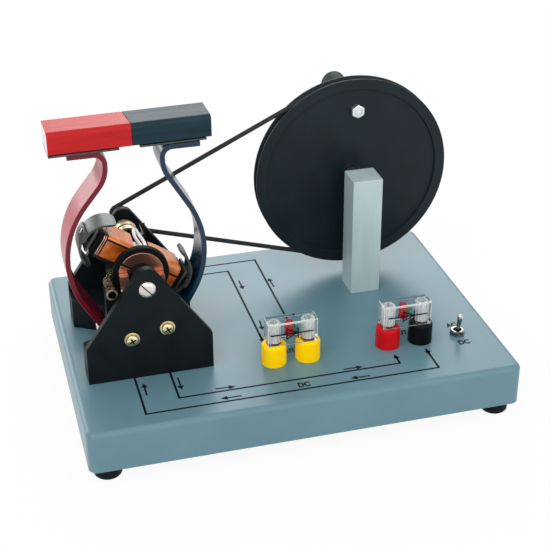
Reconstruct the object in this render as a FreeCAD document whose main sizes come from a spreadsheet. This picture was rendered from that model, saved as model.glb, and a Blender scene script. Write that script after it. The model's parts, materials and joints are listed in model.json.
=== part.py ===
import FreeCAD, Part
import math
import os
import re
import Sketcher

# Demonstration motor and generator: a hand crank turns a large pulley wheel, a round belt drives the
# armature of a two-pole machine, and a bar magnet on two bent pole strips gives the field.
# Millimetres. X runs to the right, Y to the back, Z up from the surface that the feet stand on.
# Pieces are drawn from the middle of the base; the origin is the middle of the whole outline.

SIZES = {
    # base
    "baseLength": 236, "baseWidth": 169, "baseHeight": 23.5, "baseCorner": 5, "baseEdge": 3,
    "baseWall": 3, "coverThick": 2, "coverGap": 0.4,
    "footRadius": 7.6, "footHeight": 8.3, "footInset": 10.5, "footBevel": 1, "footShoulder": 5.8,
    "footRecess": 4.5, "footWell": 3.8, "bossRadius": 5, "footScrewRadius": 1.5, "footScrewBite": 8,
    # screws and fits
    "panHeadRadius": 3.3, "panHeadHeight": 2.2, "screwGap": 0.06, "runGap": 0.05, "beltGap": 0.3,
    "drillPast": 1,
    # motor frame
    "motorX": -76.2, "motorY": -0.9, "axisHeight": 53.3, "frameGap": 68.4, "plateThick": 4,
    "plateHalf": 33.7, "plateSide": 21.3, "plateCrown": 11.3, "plateApexHalf": 3.2, "plateRound": 2,
    "apexRound": 5.5, "waistHalf": 18.5, "waistLength": 28.2, "cheekDepth": 11.6, "blockHeight": 17,
    "blockScrewRadius": 2, "blockScrewSpan": 46, "blockScrewBite": 12,
    # pole strips, heights from the top of the base
    "stripThick": 2.7, "stripWidth": 20.7, "flangeHeight": 118.3, "flangeBend": 5.5,
    "redFlangeEnd": 32.3, "redNeck": 13.4, "redSlope": 11.78, "blueFlangeEnd": 36.3,
    "blueNeck": 16.3, "blueSlope": 20.54, "neckDrop": 7, "neckBend": 18.5, "bulgeHalf": 36.5,
    "bulgeHeight": 57.8,
    "leaveAngle": 30, "heelBend": 4, "stripFoot": 3.3, "stripScrewHeight": 11.3,
    "stripScrewRadius": 1.5, "stripScrewBite": 8,
    # magnet
    "magnetLength": 84.3, "magnetShift": 0.4, "magnetWidth": 20.7, "magnetHeight": 12.2, "magnetEdge": 2.6,
    "magnetYaw": 1.4, "seamSlant": 1.4,
    "keeperThick": 1, "keeperRedLength": 36.1, "keeperBlueStart": 46.7, "keeperBlueLength": 34.9,
    # armature
    "armatureTilt": 33.5, "shaftRadius": 2, "shaftBack": 53.6, "coreBoss": 4.4, "coreBossLength": 14,
    "shaftEndGap": 0.3, "coreReach": 27, "coreHigh": 6, "coreWide": 10, "bobbinWall": 0.6,
    "bobbinIn": 4.6, "bobbinLip": 0.8, "bobbinOut": 26, "bobbinFlange": 1.6, "bobbinFlangeHigh": 12,
    "bobbinFlangeWide": 16.8, "coilHigh": 15.4, "coilWide": 21, "coilRound": 3, "coilEnd": 2,
    "capThick": 1.5, "capHigh": 13, "capWide": 15, "capBoss": 3,
    "shoeCentre": 18, "shoeRadius": 15, "leafThick": 1.2, "leafGap": 0.05, "leafSpan": 83,
    "leafLap": 11, "leafWidth": 15, "poleScrewRadius": 1.25, "poleHeadRadius": 2.3,
    "poleHeadHeight": 1.1, "poleScrewBite": 8,
    # commutator and slip rings
    "discRadius": 15, "discFront": -21.1, "discThick": 3.5, "segmentThick": 1.5,
    "segmentRadius": 12, "segmentSlot": 1.2, "hubRadius": 5.75, "hubFront": -31.4,
    "ringHubRadius": 4, "ringHubFront": 19, "ringHubBack": 31.4, "ringFlange": 5.2,
    "ringRadius": 6.5, "ringWidth": 3.8, "frontRing": 20.4, "rearRing": 25.8, "leadRadius": 0.9,
    "leadHeight": 6.3, "leadSide": 1.4,
    # bearings
    "pivotHeadRadius": 4.7, "pivotHeadHeight": 2.6, "pivotRadius": 3, "pivotReach": 2,
    "pivotBore": 4, "bushRadius": 4, "bushFlange": 5, "bushFlangeThick": 1, "bushTail": 1.5,
    # brushes
    "brushSide": 9.5, "brushLowHeight": 24.5, "brushHighHeight": 28.6, "brushScrewRadius": 1.5,
    "brushScrewSpare": 1, "washerRadius": 4.1, "washerThick": 0.6, "nutAcross": 5.5,
    "nutHeight": 2.4, "leafSpring": 0.5, "brushWidth": 4.6, "brushGap": 0.3, "brushBend": 4,
    "brushLean": 50, "brushTip": 5, "brushTail": 4.5, "leftContact": -0.9, "rightContact": -2.5,
    "contactBlock": 3.6, "fingerHigh": 3, "fingerOffset": 1.5,
    # terminal sleeve
    "sleeveX": -17.6, "sleeveZ": -3.4, "sleeveFront": -34, "sleeveBack": -18, "sleeveRadius": 2.5,
    "sleeveFlange": 3.15, "sleeveFlangeThick": 1.6, "sleeveBore": 1.6, "sleevePostSide": 5.7,
    "sleevePostFront": -28, "sleevePostDepth": 6,
    # crank wheel and belt
    "wheelX": 61.7, "wheelHeight": 64.5, "wheelRadius": 58, "wheelThick": 7.3, "beltY": 47.5,
    "wheelRim": 6.2, "wheelRecess": 1.5, "wheelHub": 5.6, "wheelPitch": 55.8, "beltRadius": 1.3,
    "grooveAngle": 20, "pulleyPitch": 4.3, "pulleyRadius": 5.4, "pulleyThick": 7.6,
    "beltSpread": 6.4, "beltNose": 3.6,
    "postWide": 17.5, "postDeep": 17, "postHeight": 72.4, "postY": 23.35, "postScrewRadius": 2.5,
    "postScrewBite": 15, "axleRadius": 4, "axleThread": 3, "axleBite": 12, "axleHead": 7,
    "axleHeadThick": 3, "spacerRadius": 5,
    "crankRadius": 38.9, "crankAngle": 86.5, "crankBoltRadius": 2, "crankHeadRadius": 3.5,
    "crankHeadThick": 3, "crankNutAcross": 7, "crankNutHeight": 3.2,
    "gripRadius": 7.5, "gripLength": 41, "gripGap": 1.4, "gripRecess": 4.4,
    "gripRecessRadius": 4, "gripBevel": 2.5, "gripLip": 0.5, "gripLipLong": 1.5,
    # sockets, LED plugs and switch
    "socketY": -43.8, "socketPitch": 19, "yellowX": -0.7, "redBlackX": 64.3, "socketRadius": 6.75,
    "socketTall": 12.5, "socketSlope": 1, "socketSlopeTall": 0.4, "socketRim": 0.5,
    "socketRimTall": 1.1, "socketRecess": 4, "socketRecessDeep": 1.5, "socketBodyRadius": 5.4,
    "socketBodyLength": 12, "contactRadius": 3, "contactBore": 2, "contactTail": 4,
    "pinRoom": 2, "socketNutAcross": 14, "socketNutHeight": 3,
    "ledLong": 27.6, "ledDeep": 9.4, "ledTall": 13.7, "ledRadius": 2.5, "ledSpread": 3.1,
    "ledRoom": 0.2, "ledRise": 3.2, "ledBody": 5.5, "pinRadius": 1.95, "pinLength": 16,
    "pinRise": 8,
    "toggleX": 96.3, "toggleNutAcross": 7.2, "toggleNutHeight": 2.6, "toggleBush": 3,
    "toggleBushTall": 3, "toggleBore": 2.4, "toggleBodyLong": 12.7, "toggleBodyWide": 7,
    "toggleBodyTall": 9.5, "toggleLever": 0.9, "toggleLeverTip": 1.5, "toggleLeverTall": 13.6,
    "toggleCrown": 2, "toggleRound": 0.5, "toggleBall": 2.1, "togglePivot": 0.6, "toggleLean": 12,
}

# lengths that follow from the sizes
DERIVED = {
    "baseTop": "footHeight + baseHeight",
    "motorZ": "baseTop + axisHeight",
    "plateApex": "axisHeight + plateCrown",
    "wheelZ": "baseTop + wheelHeight",
    "plateInside": "frameGap / 2",
    "stripX": "waistHalf + stripThick / 2 + screwGap",
    "magnetBottom": "flangeHeight - axisHeight + stripThick / 2 + keeperThick + screwGap",
    "coilIn": "bobbinIn + bobbinLip + screwGap",
    "coilOut": "bobbinOut - bobbinFlange - screwGap",
    "tubeHigh": "coreHigh + 2 * (bobbinWall + screwGap)",
    "tubeWide": "coreWide + 2 * (bobbinWall + screwGap)",
    "apex": "shoeCentre + shoeRadius",
    "leafInside": "shoeRadius - 2 * leafThick - leafGap",
    "capBossEnd": "shoeCentre + sqrt(leafInside ^ 2 - capBoss ^ 2) - screwGap",
    "pivotFloor": "plateThick + pivotReach - pivotBore",
    "grooveHalf": "(beltRadius + beltGap) / cos(grooveAngle)",
    "wheelFront": "beltY - wheelThick / 2",
    "wheelBack": "beltY + wheelThick / 2",
    "postBack": "postY + postDeep / 2",
    "crankX": "wheelX + crankRadius * cos(crankAngle)",
    "crankZ": "wheelZ + crankRadius * sin(crankAngle)",
    "gripFront": "wheelBack + gripGap",
    "gripEnd": "gripFront + gripLength",
    "socketTop": "baseTop + socketTall",
    "originX": "(wheelX + wheelRadius - baseLength / 2) / 2",
    "originY": "(gripEnd - baseWidth / 2) / 2",
    "ceiling": "baseTop - baseWall",
}

doc = FreeCAD.newDocument("DemonstrationMotor")
sheet = doc.addObject("Spreadsheet::Sheet", "Sizes")
for row, (alias, size) in enumerate(SIZES.items(), start=1):
    sheet.set("A" + str(row), alias)
    sheet.set("B" + str(row), str(size))
    sheet.setAlias("B" + str(row), alias)
doc.recompute()
nodes = []


def formula(text):
    """Write a formula of plain names as an expression on the sheet's cells."""
    def named(word):
        if word[0] in DERIVED:
            return "(" + formula(DERIVED[word[0]]) + ")"
        return "Sizes." + word[0] if word[0] in SIZES else word[0]
    return re.sub(r"[A-Za-z]\w*", named, str(text))


def value(text):
    return float(sheet.evalExpression(formula(text)))


def placing(x, y, z, axis=(0, 0, 1), turn=0):
    spot = f"vector({formula(x)}; {formula(y)}; {formula(z)})"
    line = f"vector({axis[0]}; {axis[1]}; {axis[2]})"
    return f"placement({spot}; rotation({line}; {formula(turn)}))"


# ways to point a piece that is drawn along its own Z
TURNS = {"up": ((0, 0, 1), 0), "down": ((1, 0, 0), 180), "back": ((1, 0, 0), -90), "front": ((1, 0, 0), 90),
         "right": ((0, 1, 0), 90), "left": ((0, 1, 0), -90)}
MIDDLE = placing("-originX", "-originY", 0)
ARMATURE = placing("motorX - originX", "motorY - originY", "motorZ", (0, 1, 0), "armatureTilt")
MOTOR = placing("motorX - originX", "motorY - originY", "motorZ")
MAGNET = placing("motorX - originX + magnetShift", "motorY - originY", "motorZ", (0, 0, 1), "magnetYaw")


def put(piece, at, way="up"):
    axis, turn = TURNS[way]
    piece.setExpression("Placement", placing(*at, axis, turn))
    return piece


def node(label, pieces, seat=MIDDLE):
    """Gather the solids of one sub-part under its name and seat it."""
    group = doc.addObject("Part::Compound", label)
    group.Label = label
    group.Links = pieces
    group.setExpression("Placement", seat)
    nodes.append(group)
    return group


def box(name, long, deep, tall, at, way="up"):
    piece = doc.addObject("Part::Box", name)
    for side, size in (("Length", long), ("Width", deep), ("Height", tall)):
        piece.setExpression(side, formula(size))
    return put(piece, at, way)


def block(name, long, deep, tall, x, y, z):
    """A box centred on x and y that stands on z."""
    return box(name, long, deep, tall, (f"{x} - ({long}) / 2", f"{y} - ({deep}) / 2", z))


def rod(name, radius, length, at, way="up"):
    piece = doc.addObject("Part::Cylinder", name)
    piece.setExpression("Radius", formula(radius))
    piece.setExpression("Height", formula(length))
    return put(piece, at, way)


def hexagon(name, across, height, bore, at, way="up"):
    prism = doc.addObject("Part::Prism", name + "Hex")
    prism.Polygon = 6
    prism.setExpression("Circumradius", formula(f"({across}) / 2 / cos(30)"))
    prism.setExpression("Height", formula(height))
    hole = rod(name + "Bore", bore, height, (0, 0, 0))
    return put(cut(name, prism, [hole]), at, way)


def cut(name, base, tools):
    piece = doc.addObject("Part::Cut", name)
    piece.Base = base
    piece.Tool = tools[0] if len(tools) == 1 else joined(name + "Tools", tools)
    return piece


def joined(name, pieces):
    piece = doc.addObject("Part::MultiFuse", name)
    piece.Shapes = pieces
    return piece


def drawn(body, name, role, corners):
    """A closed sketch whose corners are all dimensioned from the origin."""
    sketch = body.newObject("Sketcher::SketchObject", name)
    plane = [part for part in body.Origin.OriginFeatures if part.Role == role][0]
    sketch.AttachmentSupport = [(plane, "")]
    sketch.MapMode = "FlatFace"
    spots = [FreeCAD.Vector(value(u), value(v), 0) for u, v in corners]
    for number, spot in enumerate(spots):
        sketch.addGeometry(Part.LineSegment(spot, spots[(number + 1) % len(spots)]), False)
    for number in range(len(spots)):
        sketch.addConstraint(Sketcher.Constraint("Coincident", number, 2, (number + 1) % len(spots), 1))
    for number, corner in enumerate(corners):
        for kind, text, line, size in (("DistanceX", corner[0], -2, spots[number].x),
                                       ("DistanceY", corner[1], -1, spots[number].y)):
            if str(text) == "0":
                sketch.addConstraint(Sketcher.Constraint("PointOnObject", number, 1, line))
            else:
                index = sketch.addConstraint(Sketcher.Constraint(kind, -1, 1, number, 1, size))
                sketch.setExpression(f"Constraints[{index}]", formula(text))
    return sketch


def turned(name, corners, at=(0, 0, 0), way="up"):
    """A piece made on a lathe: corners are radius and height along its own Z."""
    body = doc.addObject("PartDesign::Body", name)
    sketch = drawn(body, name + "Profile", "XZ_Plane", corners)
    spin = body.newObject("PartDesign::Revolution", name + "Spin")
    spin.Profile = sketch
    spin.ReferenceAxis = (sketch, ["V_Axis"])
    spin.Angle = 360
    return put(body, at, way)


def padded(name, role, corners, length):
    body = doc.addObject("PartDesign::Body", name)
    pad = body.newObject("PartDesign::Pad", name + "Pad")
    pad.Profile = drawn(body, name + "Outline", role, corners)
    pad.setExpression("Length", formula(length))
    doc.recompute()
    return body, pad


def rounded(body, feature, name, radius, wanted):
    """Round the edges of a body's last feature that the test picks."""
    picked = [f"Edge{number}" for number, edge in enumerate(feature.Shape.Edges, start=1) if wanted(edge)]
    fillet = body.newObject("PartDesign::Fillet", name)
    fillet.Base = (feature, picked)
    fillet.setExpression("Radius", formula(radius))
    doc.recompute()
    return fillet


def runs_along(edge, axis):
    ends = [vertex.Point for vertex in edge.Vertexes]
    return len(ends) == 2 and abs((ends[1] - ends[0]).normalize().dot(axis)) > 0.999


def oblong(long, wide):
    return [(f"-({long}) / 2", f"-({wide}) / 2"), (f"({long}) / 2", f"-({wide}) / 2"),
            (f"({long}) / 2", f"({wide}) / 2"), (f"-({long}) / 2", f"({wide}) / 2")]


def plain_rod(radius, bottom, top):
    return [(0, bottom), (radius, bottom), (radius, top), (0, top)]


def tube(bore, radius, bottom, top):
    return [(bore, bottom), (radius, bottom), (radius, top), (bore, top)]


def pan_screw(name, shank, bite, at, way):
    """A pan-head screw whose seat is at its own zero and whose shank runs along +Z."""
    head = [(0, "-panHeadHeight"), ("panHeadRadius * 0.72", "-panHeadHeight"),
            ("panHeadRadius", "-panHeadHeight * 0.45"), ("panHeadRadius", 0)]
    return turned(name, head + [(shank, 0), (shank, bite), (0, bite)], at, way)


def ribbon(name, start, heading, moves, thick, width):
    """Bent sheet: its middle line is runs and bends in X and Z, and its width lies along Y."""
    spot = FreeCAD.Vector(start[0], -width / 2, start[1])
    across = FreeCAD.Vector(0, 1, 0)
    ahead = FreeCAD.Vector(math.cos(math.radians(heading)), 0, math.sin(math.radians(heading)))
    sides = ([], [])
    ends = []
    for kind, size, turn in moves:
        left = across.cross(ahead) * -1
        if kind == "run":
            stops = [spot, spot + ahead * size]
            lefts = [left, left]
        else:
            hub = spot + left * math.copysign(size, turn)
            turns = [FreeCAD.Rotation(across, -share) for share in (0, turn / 2, turn)]
            stops = [hub + part.multVec(spot - hub) for part in turns]
            lefts = [part.multVec(left) for part in turns]
            ahead = turns[-1].multVec(ahead)
        for side, offset in zip(sides, (thick / 2, -thick / 2)):
            shifted = [stop + way * offset for stop, way in zip(stops, lefts)]
            curve = Part.LineSegment(*shifted) if len(shifted) == 2 else Part.Arc(*shifted)
            side.append(curve.toShape())
        spot = stops[-1]
        ends += [(stops[0], lefts[0]), (stops[-1], lefts[-1])]
    caps = [Part.LineSegment(stop + way * (thick / 2), stop - way * (thick / 2)).toShape()
            for stop, way in (ends[0], ends[-1])]
    outline = Part.Wire(Part.__sortEdges__(sides[0] + sides[1] + caps))
    piece = doc.addObject("Part::Feature", name)
    piece.Shape = Part.Face(outline).extrude(across * width)
    return piece


# base ---------------------------------------------------------------------------------------------------

FOOT_X = "baseLength / 2 - footInset"
FOOT_Y = "baseWidth / 2 - footInset"
FEET = [(f"{sx} * ({FOOT_X})", f"{sy} * ({FOOT_Y})") for sx in (-1, 1) for sy in (-1, 1)]
SOCKETS = {"yellowLeft": "yellowX - socketPitch / 2", "yellowRight": "yellowX + socketPitch / 2",
           "red": "redBlackX - socketPitch / 2", "black": "redBlackX + socketPitch / 2"}


def block_screw_spots():
    return [("motorX", f"motorY + {side} * blockScrewSpan / 2") for side in (-1, 1)]


def base_tray():
    body, pad = padded("TrayBody", "XY_Plane", oblong("baseLength", "baseWidth"), "baseHeight")
    upright = FreeCAD.Vector(0, 0, 1)
    corners = rounded(body, pad, "TrayCorners", "baseCorner", lambda edge: runs_along(edge, upright))
    top = value("baseHeight")
    rounded(body, corners, "TrayEdge", "baseEdge",
            lambda edge: all(abs(vertex.Z - top) < 0.001 for vertex in edge.Vertexes))
    put(body, (0, 0, "footHeight"))
    room = block("TrayRoom", "baseLength - 2 * baseWall", "baseWidth - 2 * baseWall",
                 "baseHeight - baseWall", 0, 0, "footHeight")
    bosses = [rod(f"Boss{number}", "bossRadius", "baseHeight - baseWall - coverThick",
                  (x, y, "footHeight + coverThick")) for number, (x, y) in enumerate(FEET)]
    shell = joined("TrayShell", [cut("TrayHollow", body, [room])] + bosses)
    holes = [rod(f"BossHole{number}", "footScrewRadius + screwGap", "footScrewBite + drillPast + coverThick",
                 (x, y, "footHeight")) for number, (x, y) in enumerate(FEET)]
    holes += [rod("SocketHole" + name, "socketBodyRadius + screwGap", "baseWall", (x, "socketY", "ceiling"))
              for name, x in SOCKETS.items()]
    holes += [rod(f"BlockHole{number}", "blockScrewRadius + screwGap", "baseWall", (x, y, "ceiling"))
              for number, (x, y) in enumerate(block_screw_spots())]
    holes.append(rod("ToggleHole", "toggleBush + screwGap", "baseWall", ("toggleX", "socketY", "ceiling")))
    holes.append(rod("PostHole", "postScrewRadius + screwGap", "baseWall", ("wheelX", "postY", "ceiling")))
    node("base_tray", [cut("Tray", shell, holes)])


def bottom_cover():
    sheet_metal = block("CoverSheet", "baseLength - 2 * (baseWall + coverGap)",
                        "baseWidth - 2 * (baseWall + coverGap)", "coverThick", 0, 0, "footHeight")
    holes = [rod(f"CoverHole{number}", "footScrewRadius + screwGap", "coverThick", (x, y, "footHeight"))
             for number, (x, y) in enumerate(FEET)]
    node("bottom_cover", [cut("Cover", sheet_metal, holes)])


def feet():
    foot = [("footWell", 0), ("footRadius - footBevel", 0), ("footRadius - footBevel / 4", "footBevel"),
            ("footRadius", "footShoulder"), ("footRadius", "footHeight"),
            ("footScrewRadius + screwGap", "footHeight"), ("footScrewRadius + screwGap", "footRecess"),
            ("footWell", "footRecess")]
    node("rubber_feet", [turned(f"Foot{number}", foot, (x, y, 0)) for number, (x, y) in enumerate(FEET)])
    bite = "footHeight - footRecess + coverThick + footScrewBite"
    node("foot_screws", [pan_screw(f"FootScrew{number}", "footScrewRadius", bite, (x, y, "footRecess"), "up")
                         for number, (x, y) in enumerate(FEET)])


# motor frame, drawn from the armature's axis ------------------------------------------------------------

FRONT_FACE = "-plateInside - plateThick"
BACK_FACE = "plateInside + plateThick"
BRUSH_SPOTS = [("-brushSide", "brushLowHeight - axisHeight"), ("brushSide", "brushHighHeight - axisHeight")]
CONTACTS = ["leftContact", "rightContact"]


def bearing_plate(label, front, bore):
    half = [("plateHalf", "-axisHeight"), ("plateHalf", "plateSide - axisHeight"),
            ("plateApexHalf", "plateApex - axisHeight")]
    outline = half + [("-" + x, z) for x, z in reversed(half)]
    body, pad = padded(label + "Body", "XZ_Plane", outline, "plateThick")
    depth = FreeCAD.Vector(0, 1, 0)
    brow, top = value("plateSide - axisHeight"), value("plateApex - axisHeight")
    shoulders = rounded(body, pad, label + "Shoulders", "plateRound",
                        lambda edge: runs_along(edge, depth) and abs(edge.Vertexes[0].Z - brow) < 0.001)
    rounded(body, shoulders, label + "Apex", "apexRound",
            lambda edge: runs_along(edge, depth) and abs(edge.Vertexes[0].Z - top) < 0.001)
    put(body, (0, front + " + plateThick", 0))
    holes = [rod(label + "Bore", bore, "plateThick", (0, front, 0), "back")]
    holes += [rod(f"{label}Hole{number}", "brushScrewRadius + screwGap", "plateThick", (x, front, z), "back")
              for number, (x, z) in enumerate(BRUSH_SPOTS)]
    node(label, [cut(label + "Drilled", body, holes)], MOTOR)


def pole_block():
    cheek = "plateInside - cheekDepth"
    quarter = [("waistHalf", "waistLength / 2"), ("plateHalf", cheek), ("plateHalf", "plateInside")]
    right = [(x, f"-({y})") for x, y in reversed(quarter)] + quarter
    outline = right + [("-" + x, y) for x, y in reversed(right)]
    body, _ = padded("BlockBody", "XY_Plane", outline, "blockHeight")
    put(body, (0, 0, "-axisHeight"))
    holes = [rod(f"BlockThread{number}", "blockScrewRadius + screwGap", "blockScrewBite + drillPast",
                 (0, f"{side} * blockScrewSpan / 2", "-axisHeight")) for number, side in enumerate((-1, 1))]
    holes += [rod("StripThread" + way, "stripScrewRadius + screwGap", "stripScrewBite + drillPast",
                  (start, 0, "stripScrewHeight - axisHeight"), way)
              for way, start in (("left", "waistHalf"), ("right", "-waistHalf"))]
    node("pole_block", [cut("Block", body, holes)], MOTOR)
    node("block_screws", [pan_screw(f"BlockScrew{number}", "blockScrewRadius", "baseWall + blockScrewBite",
                                    (x, y, "ceiling"), "up")
                          for number, (x, y) in enumerate(block_screw_spots())])


def bearings():
    pivot = [(0, "-pivotHeadHeight"), ("pivotHeadRadius * 0.7", "-pivotHeadHeight"),
             ("pivotHeadRadius", "-pivotHeadHeight / 2"), ("pivotHeadRadius", 0), ("pivotRadius", 0),
             ("pivotRadius", "plateThick + pivotReach"),
             ("shaftRadius + runGap", "plateThick + pivotReach"),
             ("shaftRadius + runGap", "pivotFloor"), (0, "pivotFloor")]
    node("pivot_screw", [turned("PivotScrew", pivot, (0, FRONT_FACE, 0), "back")], MOTOR)
    bush = [("shaftRadius + runGap", "-bushFlangeThick"), ("bushFlange", "-bushFlangeThick"),
            ("bushFlange", 0), ("bushRadius", 0), ("bushRadius", "plateThick + bushTail"),
            ("shaftRadius + runGap", "plateThick + bushTail")]
    node("rear_bush", [turned("RearBush", bush, (0, "plateInside", 0), "back")], MOTOR)


def strip_moves(colour):
    """The middle line of a pole strip from its upper free end down, as runs and bends."""
    neck, neck_bend = value(colour + "Neck"), value("neckBend")
    drop = value("flangeHeight - neckDrop - bulgeHeight")
    inset = value("bulgeHalf") - neck
    slope = value(colour + "Slope")
    both = (inset ** 2 + drop ** 2 - slope ** 2) / (2 * inset)
    bulge_bend = both - neck_bend
    lean = math.degrees(math.atan2(drop, both - inset) - math.atan2(slope, both))
    leave = math.radians(value("leaveAngle"))
    heel = value("heelBend")
    leave_x = value("bulgeHalf") - bulge_bend * (1 - math.cos(leave))
    heel_run = (leave_x - value("stripX") - heel * (1 - math.cos(leave))) / math.sin(leave)
    heel_z = value("bulgeHeight") - (bulge_bend + heel) * math.sin(leave) - heel_run * math.cos(leave)
    bend = value("flangeBend")
    return [("run", value(colour + "FlangeEnd") - neck - bend, 0), ("bend", bend, 90),
            ("run", value("neckDrop") - bend, 0), ("bend", neck_bend, lean),
            ("run", slope, 0), ("bend", bulge_bend, -lean - math.degrees(leave)),
            ("run", heel_run, 0), ("bend", heel, math.degrees(leave)),
            ("run", heel_z - value("stripFoot"), 0)]


def pole_strips():
    for colour, side in (("blue", 0), ("red", 180)):
        label = colour + "_pole_strip"
        start = (value(colour + "FlangeEnd"), value("flangeHeight - axisHeight"))
        sheet_strip = ribbon(label + "Sheet", start, 180, strip_moves(colour), value("stripThick"),
                             value("stripWidth"))
        hole = rod(label + "Hole", "stripScrewRadius + screwGap", "plateHalf",
                   (0, 0, "stripScrewHeight - axisHeight"), "right")
        seat = placing("motorX - originX", "motorY - originY", "motorZ", (0, 0, 1), side)
        node(label, [cut(label + "Cut", sheet_strip, [hole])], seat)
    seat_x = "waistHalf + stripThick + 2 * screwGap"
    bite = "stripScrewBite + stripThick"
    node("strip_screws", [pan_screw("StripScrewRight", "stripScrewRadius", bite,
                                    (seat_x, 0, "stripScrewHeight - axisHeight"), "left"),
                          pan_screw("StripScrewLeft", "stripScrewRadius", bite,
                                    (f"-({seat_x})", 0, "stripScrewHeight - axisHeight"), "right")], MOTOR)


def magnet():
    front, back = "-magnetWidth / 2", "magnetWidth / 2"
    for label, end in (("magnet_red_half", "-magnetLength / 2"), ("magnet_blue_half", "magnetLength / 2")):
        outline = [("seamSlant / 2", front), (end, front), (end, back), ("-seamSlant / 2", back)]
        body, pad = padded(label + "Body", "XY_Plane", outline, "magnetHeight")
        top = value("magnetHeight")
        along = FreeCAD.Vector(1, 0, 0)
        rounded(body, pad, label + "Edges", "magnetEdge",
                lambda edge: runs_along(edge, along) and edge.Vertexes[0].Z > top - 0.001)
        put(body, (0, 0, "magnetBottom"))
        node(label, [body], MAGNET)
    keepers = [("KeeperRed", "keeperRedLength", "-magnetLength / 2"),
               ("KeeperBlue", "keeperBlueLength", "keeperBlueStart - magnetLength / 2")]
    node("magnet_plates", [box(name, length, "magnetWidth", "keeperThick",
                               (start, front, "magnetBottom - keeperThick"))
                           for name, length, start in keepers], MAGNET)


# armature, drawn with its poles along X and turned with the shaft --------------------------------------

def both_poles(name, make):
    """One piece for the right pole and the same piece half a turn round for the left."""
    pieces = []
    for side, turn in (("Right", 0), ("Left", 180)):
        holder = doc.addObject("Part::Compound", name + side)
        holder.Links = [make(name + side)]
        holder.setExpression("Placement", placing(0, 0, 0, (0, 1, 0), turn))
        pieces.append(holder)
    return pieces


def centred(name, start, end, wide, high):
    """A bar along the pole from start to end, centred on the pole's line."""
    return box(name, f"({end}) - ({start})", wide, high, (start, f"-({wide}) / 2", f"-({high}) / 2"))


def armature_core():
    front_end = f"{FRONT_FACE} + pivotFloor + shaftEndGap"
    node("armature_shaft", [turned("Shaft", plain_rod("shaftRadius", front_end, "shaftBack"), (0, 0, 0),
                                   "back")], ARMATURE)
    bar = centred("CoreBar", "-coreReach", "coreReach", "coreWide", "coreHigh")
    boss = rod("CoreBoss", "coreBoss", "coreBossLength", (0, "-coreBossLength / 2", 0), "back")
    bore = rod("CoreBore", "shaftRadius + screwGap", "coreBossLength", (0, "-coreBossLength / 2", 0), "back")
    threads = [rod("PoleThread" + way, "poleScrewRadius + screwGap", "poleScrewBite + drillPast",
                   (start, 0, 0), way) for way, start in (("left", "coreReach"), ("right", "-coreReach"))]
    node("armature_core", [cut("Core", joined("CoreForging", [bar, boss]), [bore] + threads)], ARMATURE)


def bobbin(name):
    tube_body = centred(name + "Tube", "bobbinIn", "bobbinOut", "tubeWide", "tubeHigh")
    inner = centred(name + "InnerFlange", "bobbinIn", "bobbinIn + bobbinLip", "bobbinFlangeWide",
                    "bobbinFlangeHigh")
    outer = centred(name + "OuterFlange", "bobbinOut - bobbinFlange", "bobbinOut", "bobbinFlangeWide",
                    "bobbinFlangeHigh")
    hole = centred(name + "Hole", "bobbinIn", "bobbinOut", "coreWide + 2 * screwGap",
                   "coreHigh + 2 * screwGap")
    return cut(name, joined(name + "Walls", [tube_body, inner, outer]), [hole])


def coil(name):
    wide, high = "coilWide / 2", "coilHigh / 2"
    outline = [("-" + high, "-" + wide), (high, "-" + wide), (high, wide), ("-" + high, wide)]
    body, pad = padded(name + "Body", "XY_Plane", outline, "coilOut - coilIn")
    length = value("coilOut - coilIn")
    along = FreeCAD.Vector(0, 0, 1)
    sides = rounded(body, pad, name + "Sides", "coilRound", lambda edge: runs_along(edge, along))
    rounded(body, sides, name + "End", "coilEnd",
            lambda edge: all(abs(vertex.Z - length) < 0.001 for vertex in edge.Vertexes))
    put(body, ("coilIn", 0, 0), "right")
    hole = centred(name + "Hole", "coilIn", "coilOut", "tubeWide + 2 * screwGap", "tubeHigh + 2 * screwGap")
    return cut(name, body, [hole])


def end_cap(name):
    cap = centred(name + "Cap", "coreReach", "coreReach + capThick", "capWide", "capHigh")
    boss = rod(name + "Boss", "capBoss", "capBossEnd - coreReach", ("coreReach", 0, 0), "right")
    hole = rod(name + "Hole", "poleScrewRadius + screwGap", "capBossEnd - coreReach", ("coreReach", 0, 0),
               "right")
    return cut(name, joined(name + "Body", [cap, boss]), [hole])


def shoe_leaves(name):
    """Two bent leaves that lap at the pole's apex: the upper one lies outside."""
    thick = value("leafThick")
    span = value("leafSpan + leafLap")
    leaves = []
    for leaf, outer, side, hole in (("Outer", 0, 1, "poleHeadRadius + 2 * screwGap"),
                                    ("Inner", thick + value("leafGap"), -1, "poleScrewRadius + screwGap")):
        radius = value("shoeRadius") - outer - thick / 2
        free = math.radians(side * value("leafSpan"))
        start = (value("shoeCentre") + radius * math.cos(free), radius * math.sin(free))
        sheet_leaf = ribbon(name + leaf + "Sheet", start, math.degrees(free) - side * 90,
                            [("bend", radius, -side * span)], thick, value("leafWidth"))
        drill = rod(name + leaf + "Hole", hole, "shoeRadius", ("shoeCentre", 0, 0), "right")
        leaves.append(cut(name + leaf, sheet_leaf, [drill]))
    pair = doc.addObject("Part::Compound", name + "Pair")
    pair.Links = leaves
    return pair


def pole_screw(name):
    seat = "apex - leafThick + leafGap"
    corners = [(0, 0), ("poleScrewRadius", 0), ("poleScrewRadius", f"{seat} - coreReach + poleScrewBite"),
               ("poleHeadRadius", f"{seat} - coreReach + poleScrewBite"),
               ("poleHeadRadius", f"{seat} - coreReach + poleScrewBite + poleHeadHeight"),
               (0, f"{seat} - coreReach + poleScrewBite + poleHeadHeight")]
    return turned(name, corners, ("coreReach - poleScrewBite", 0, 0), "right")


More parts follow.
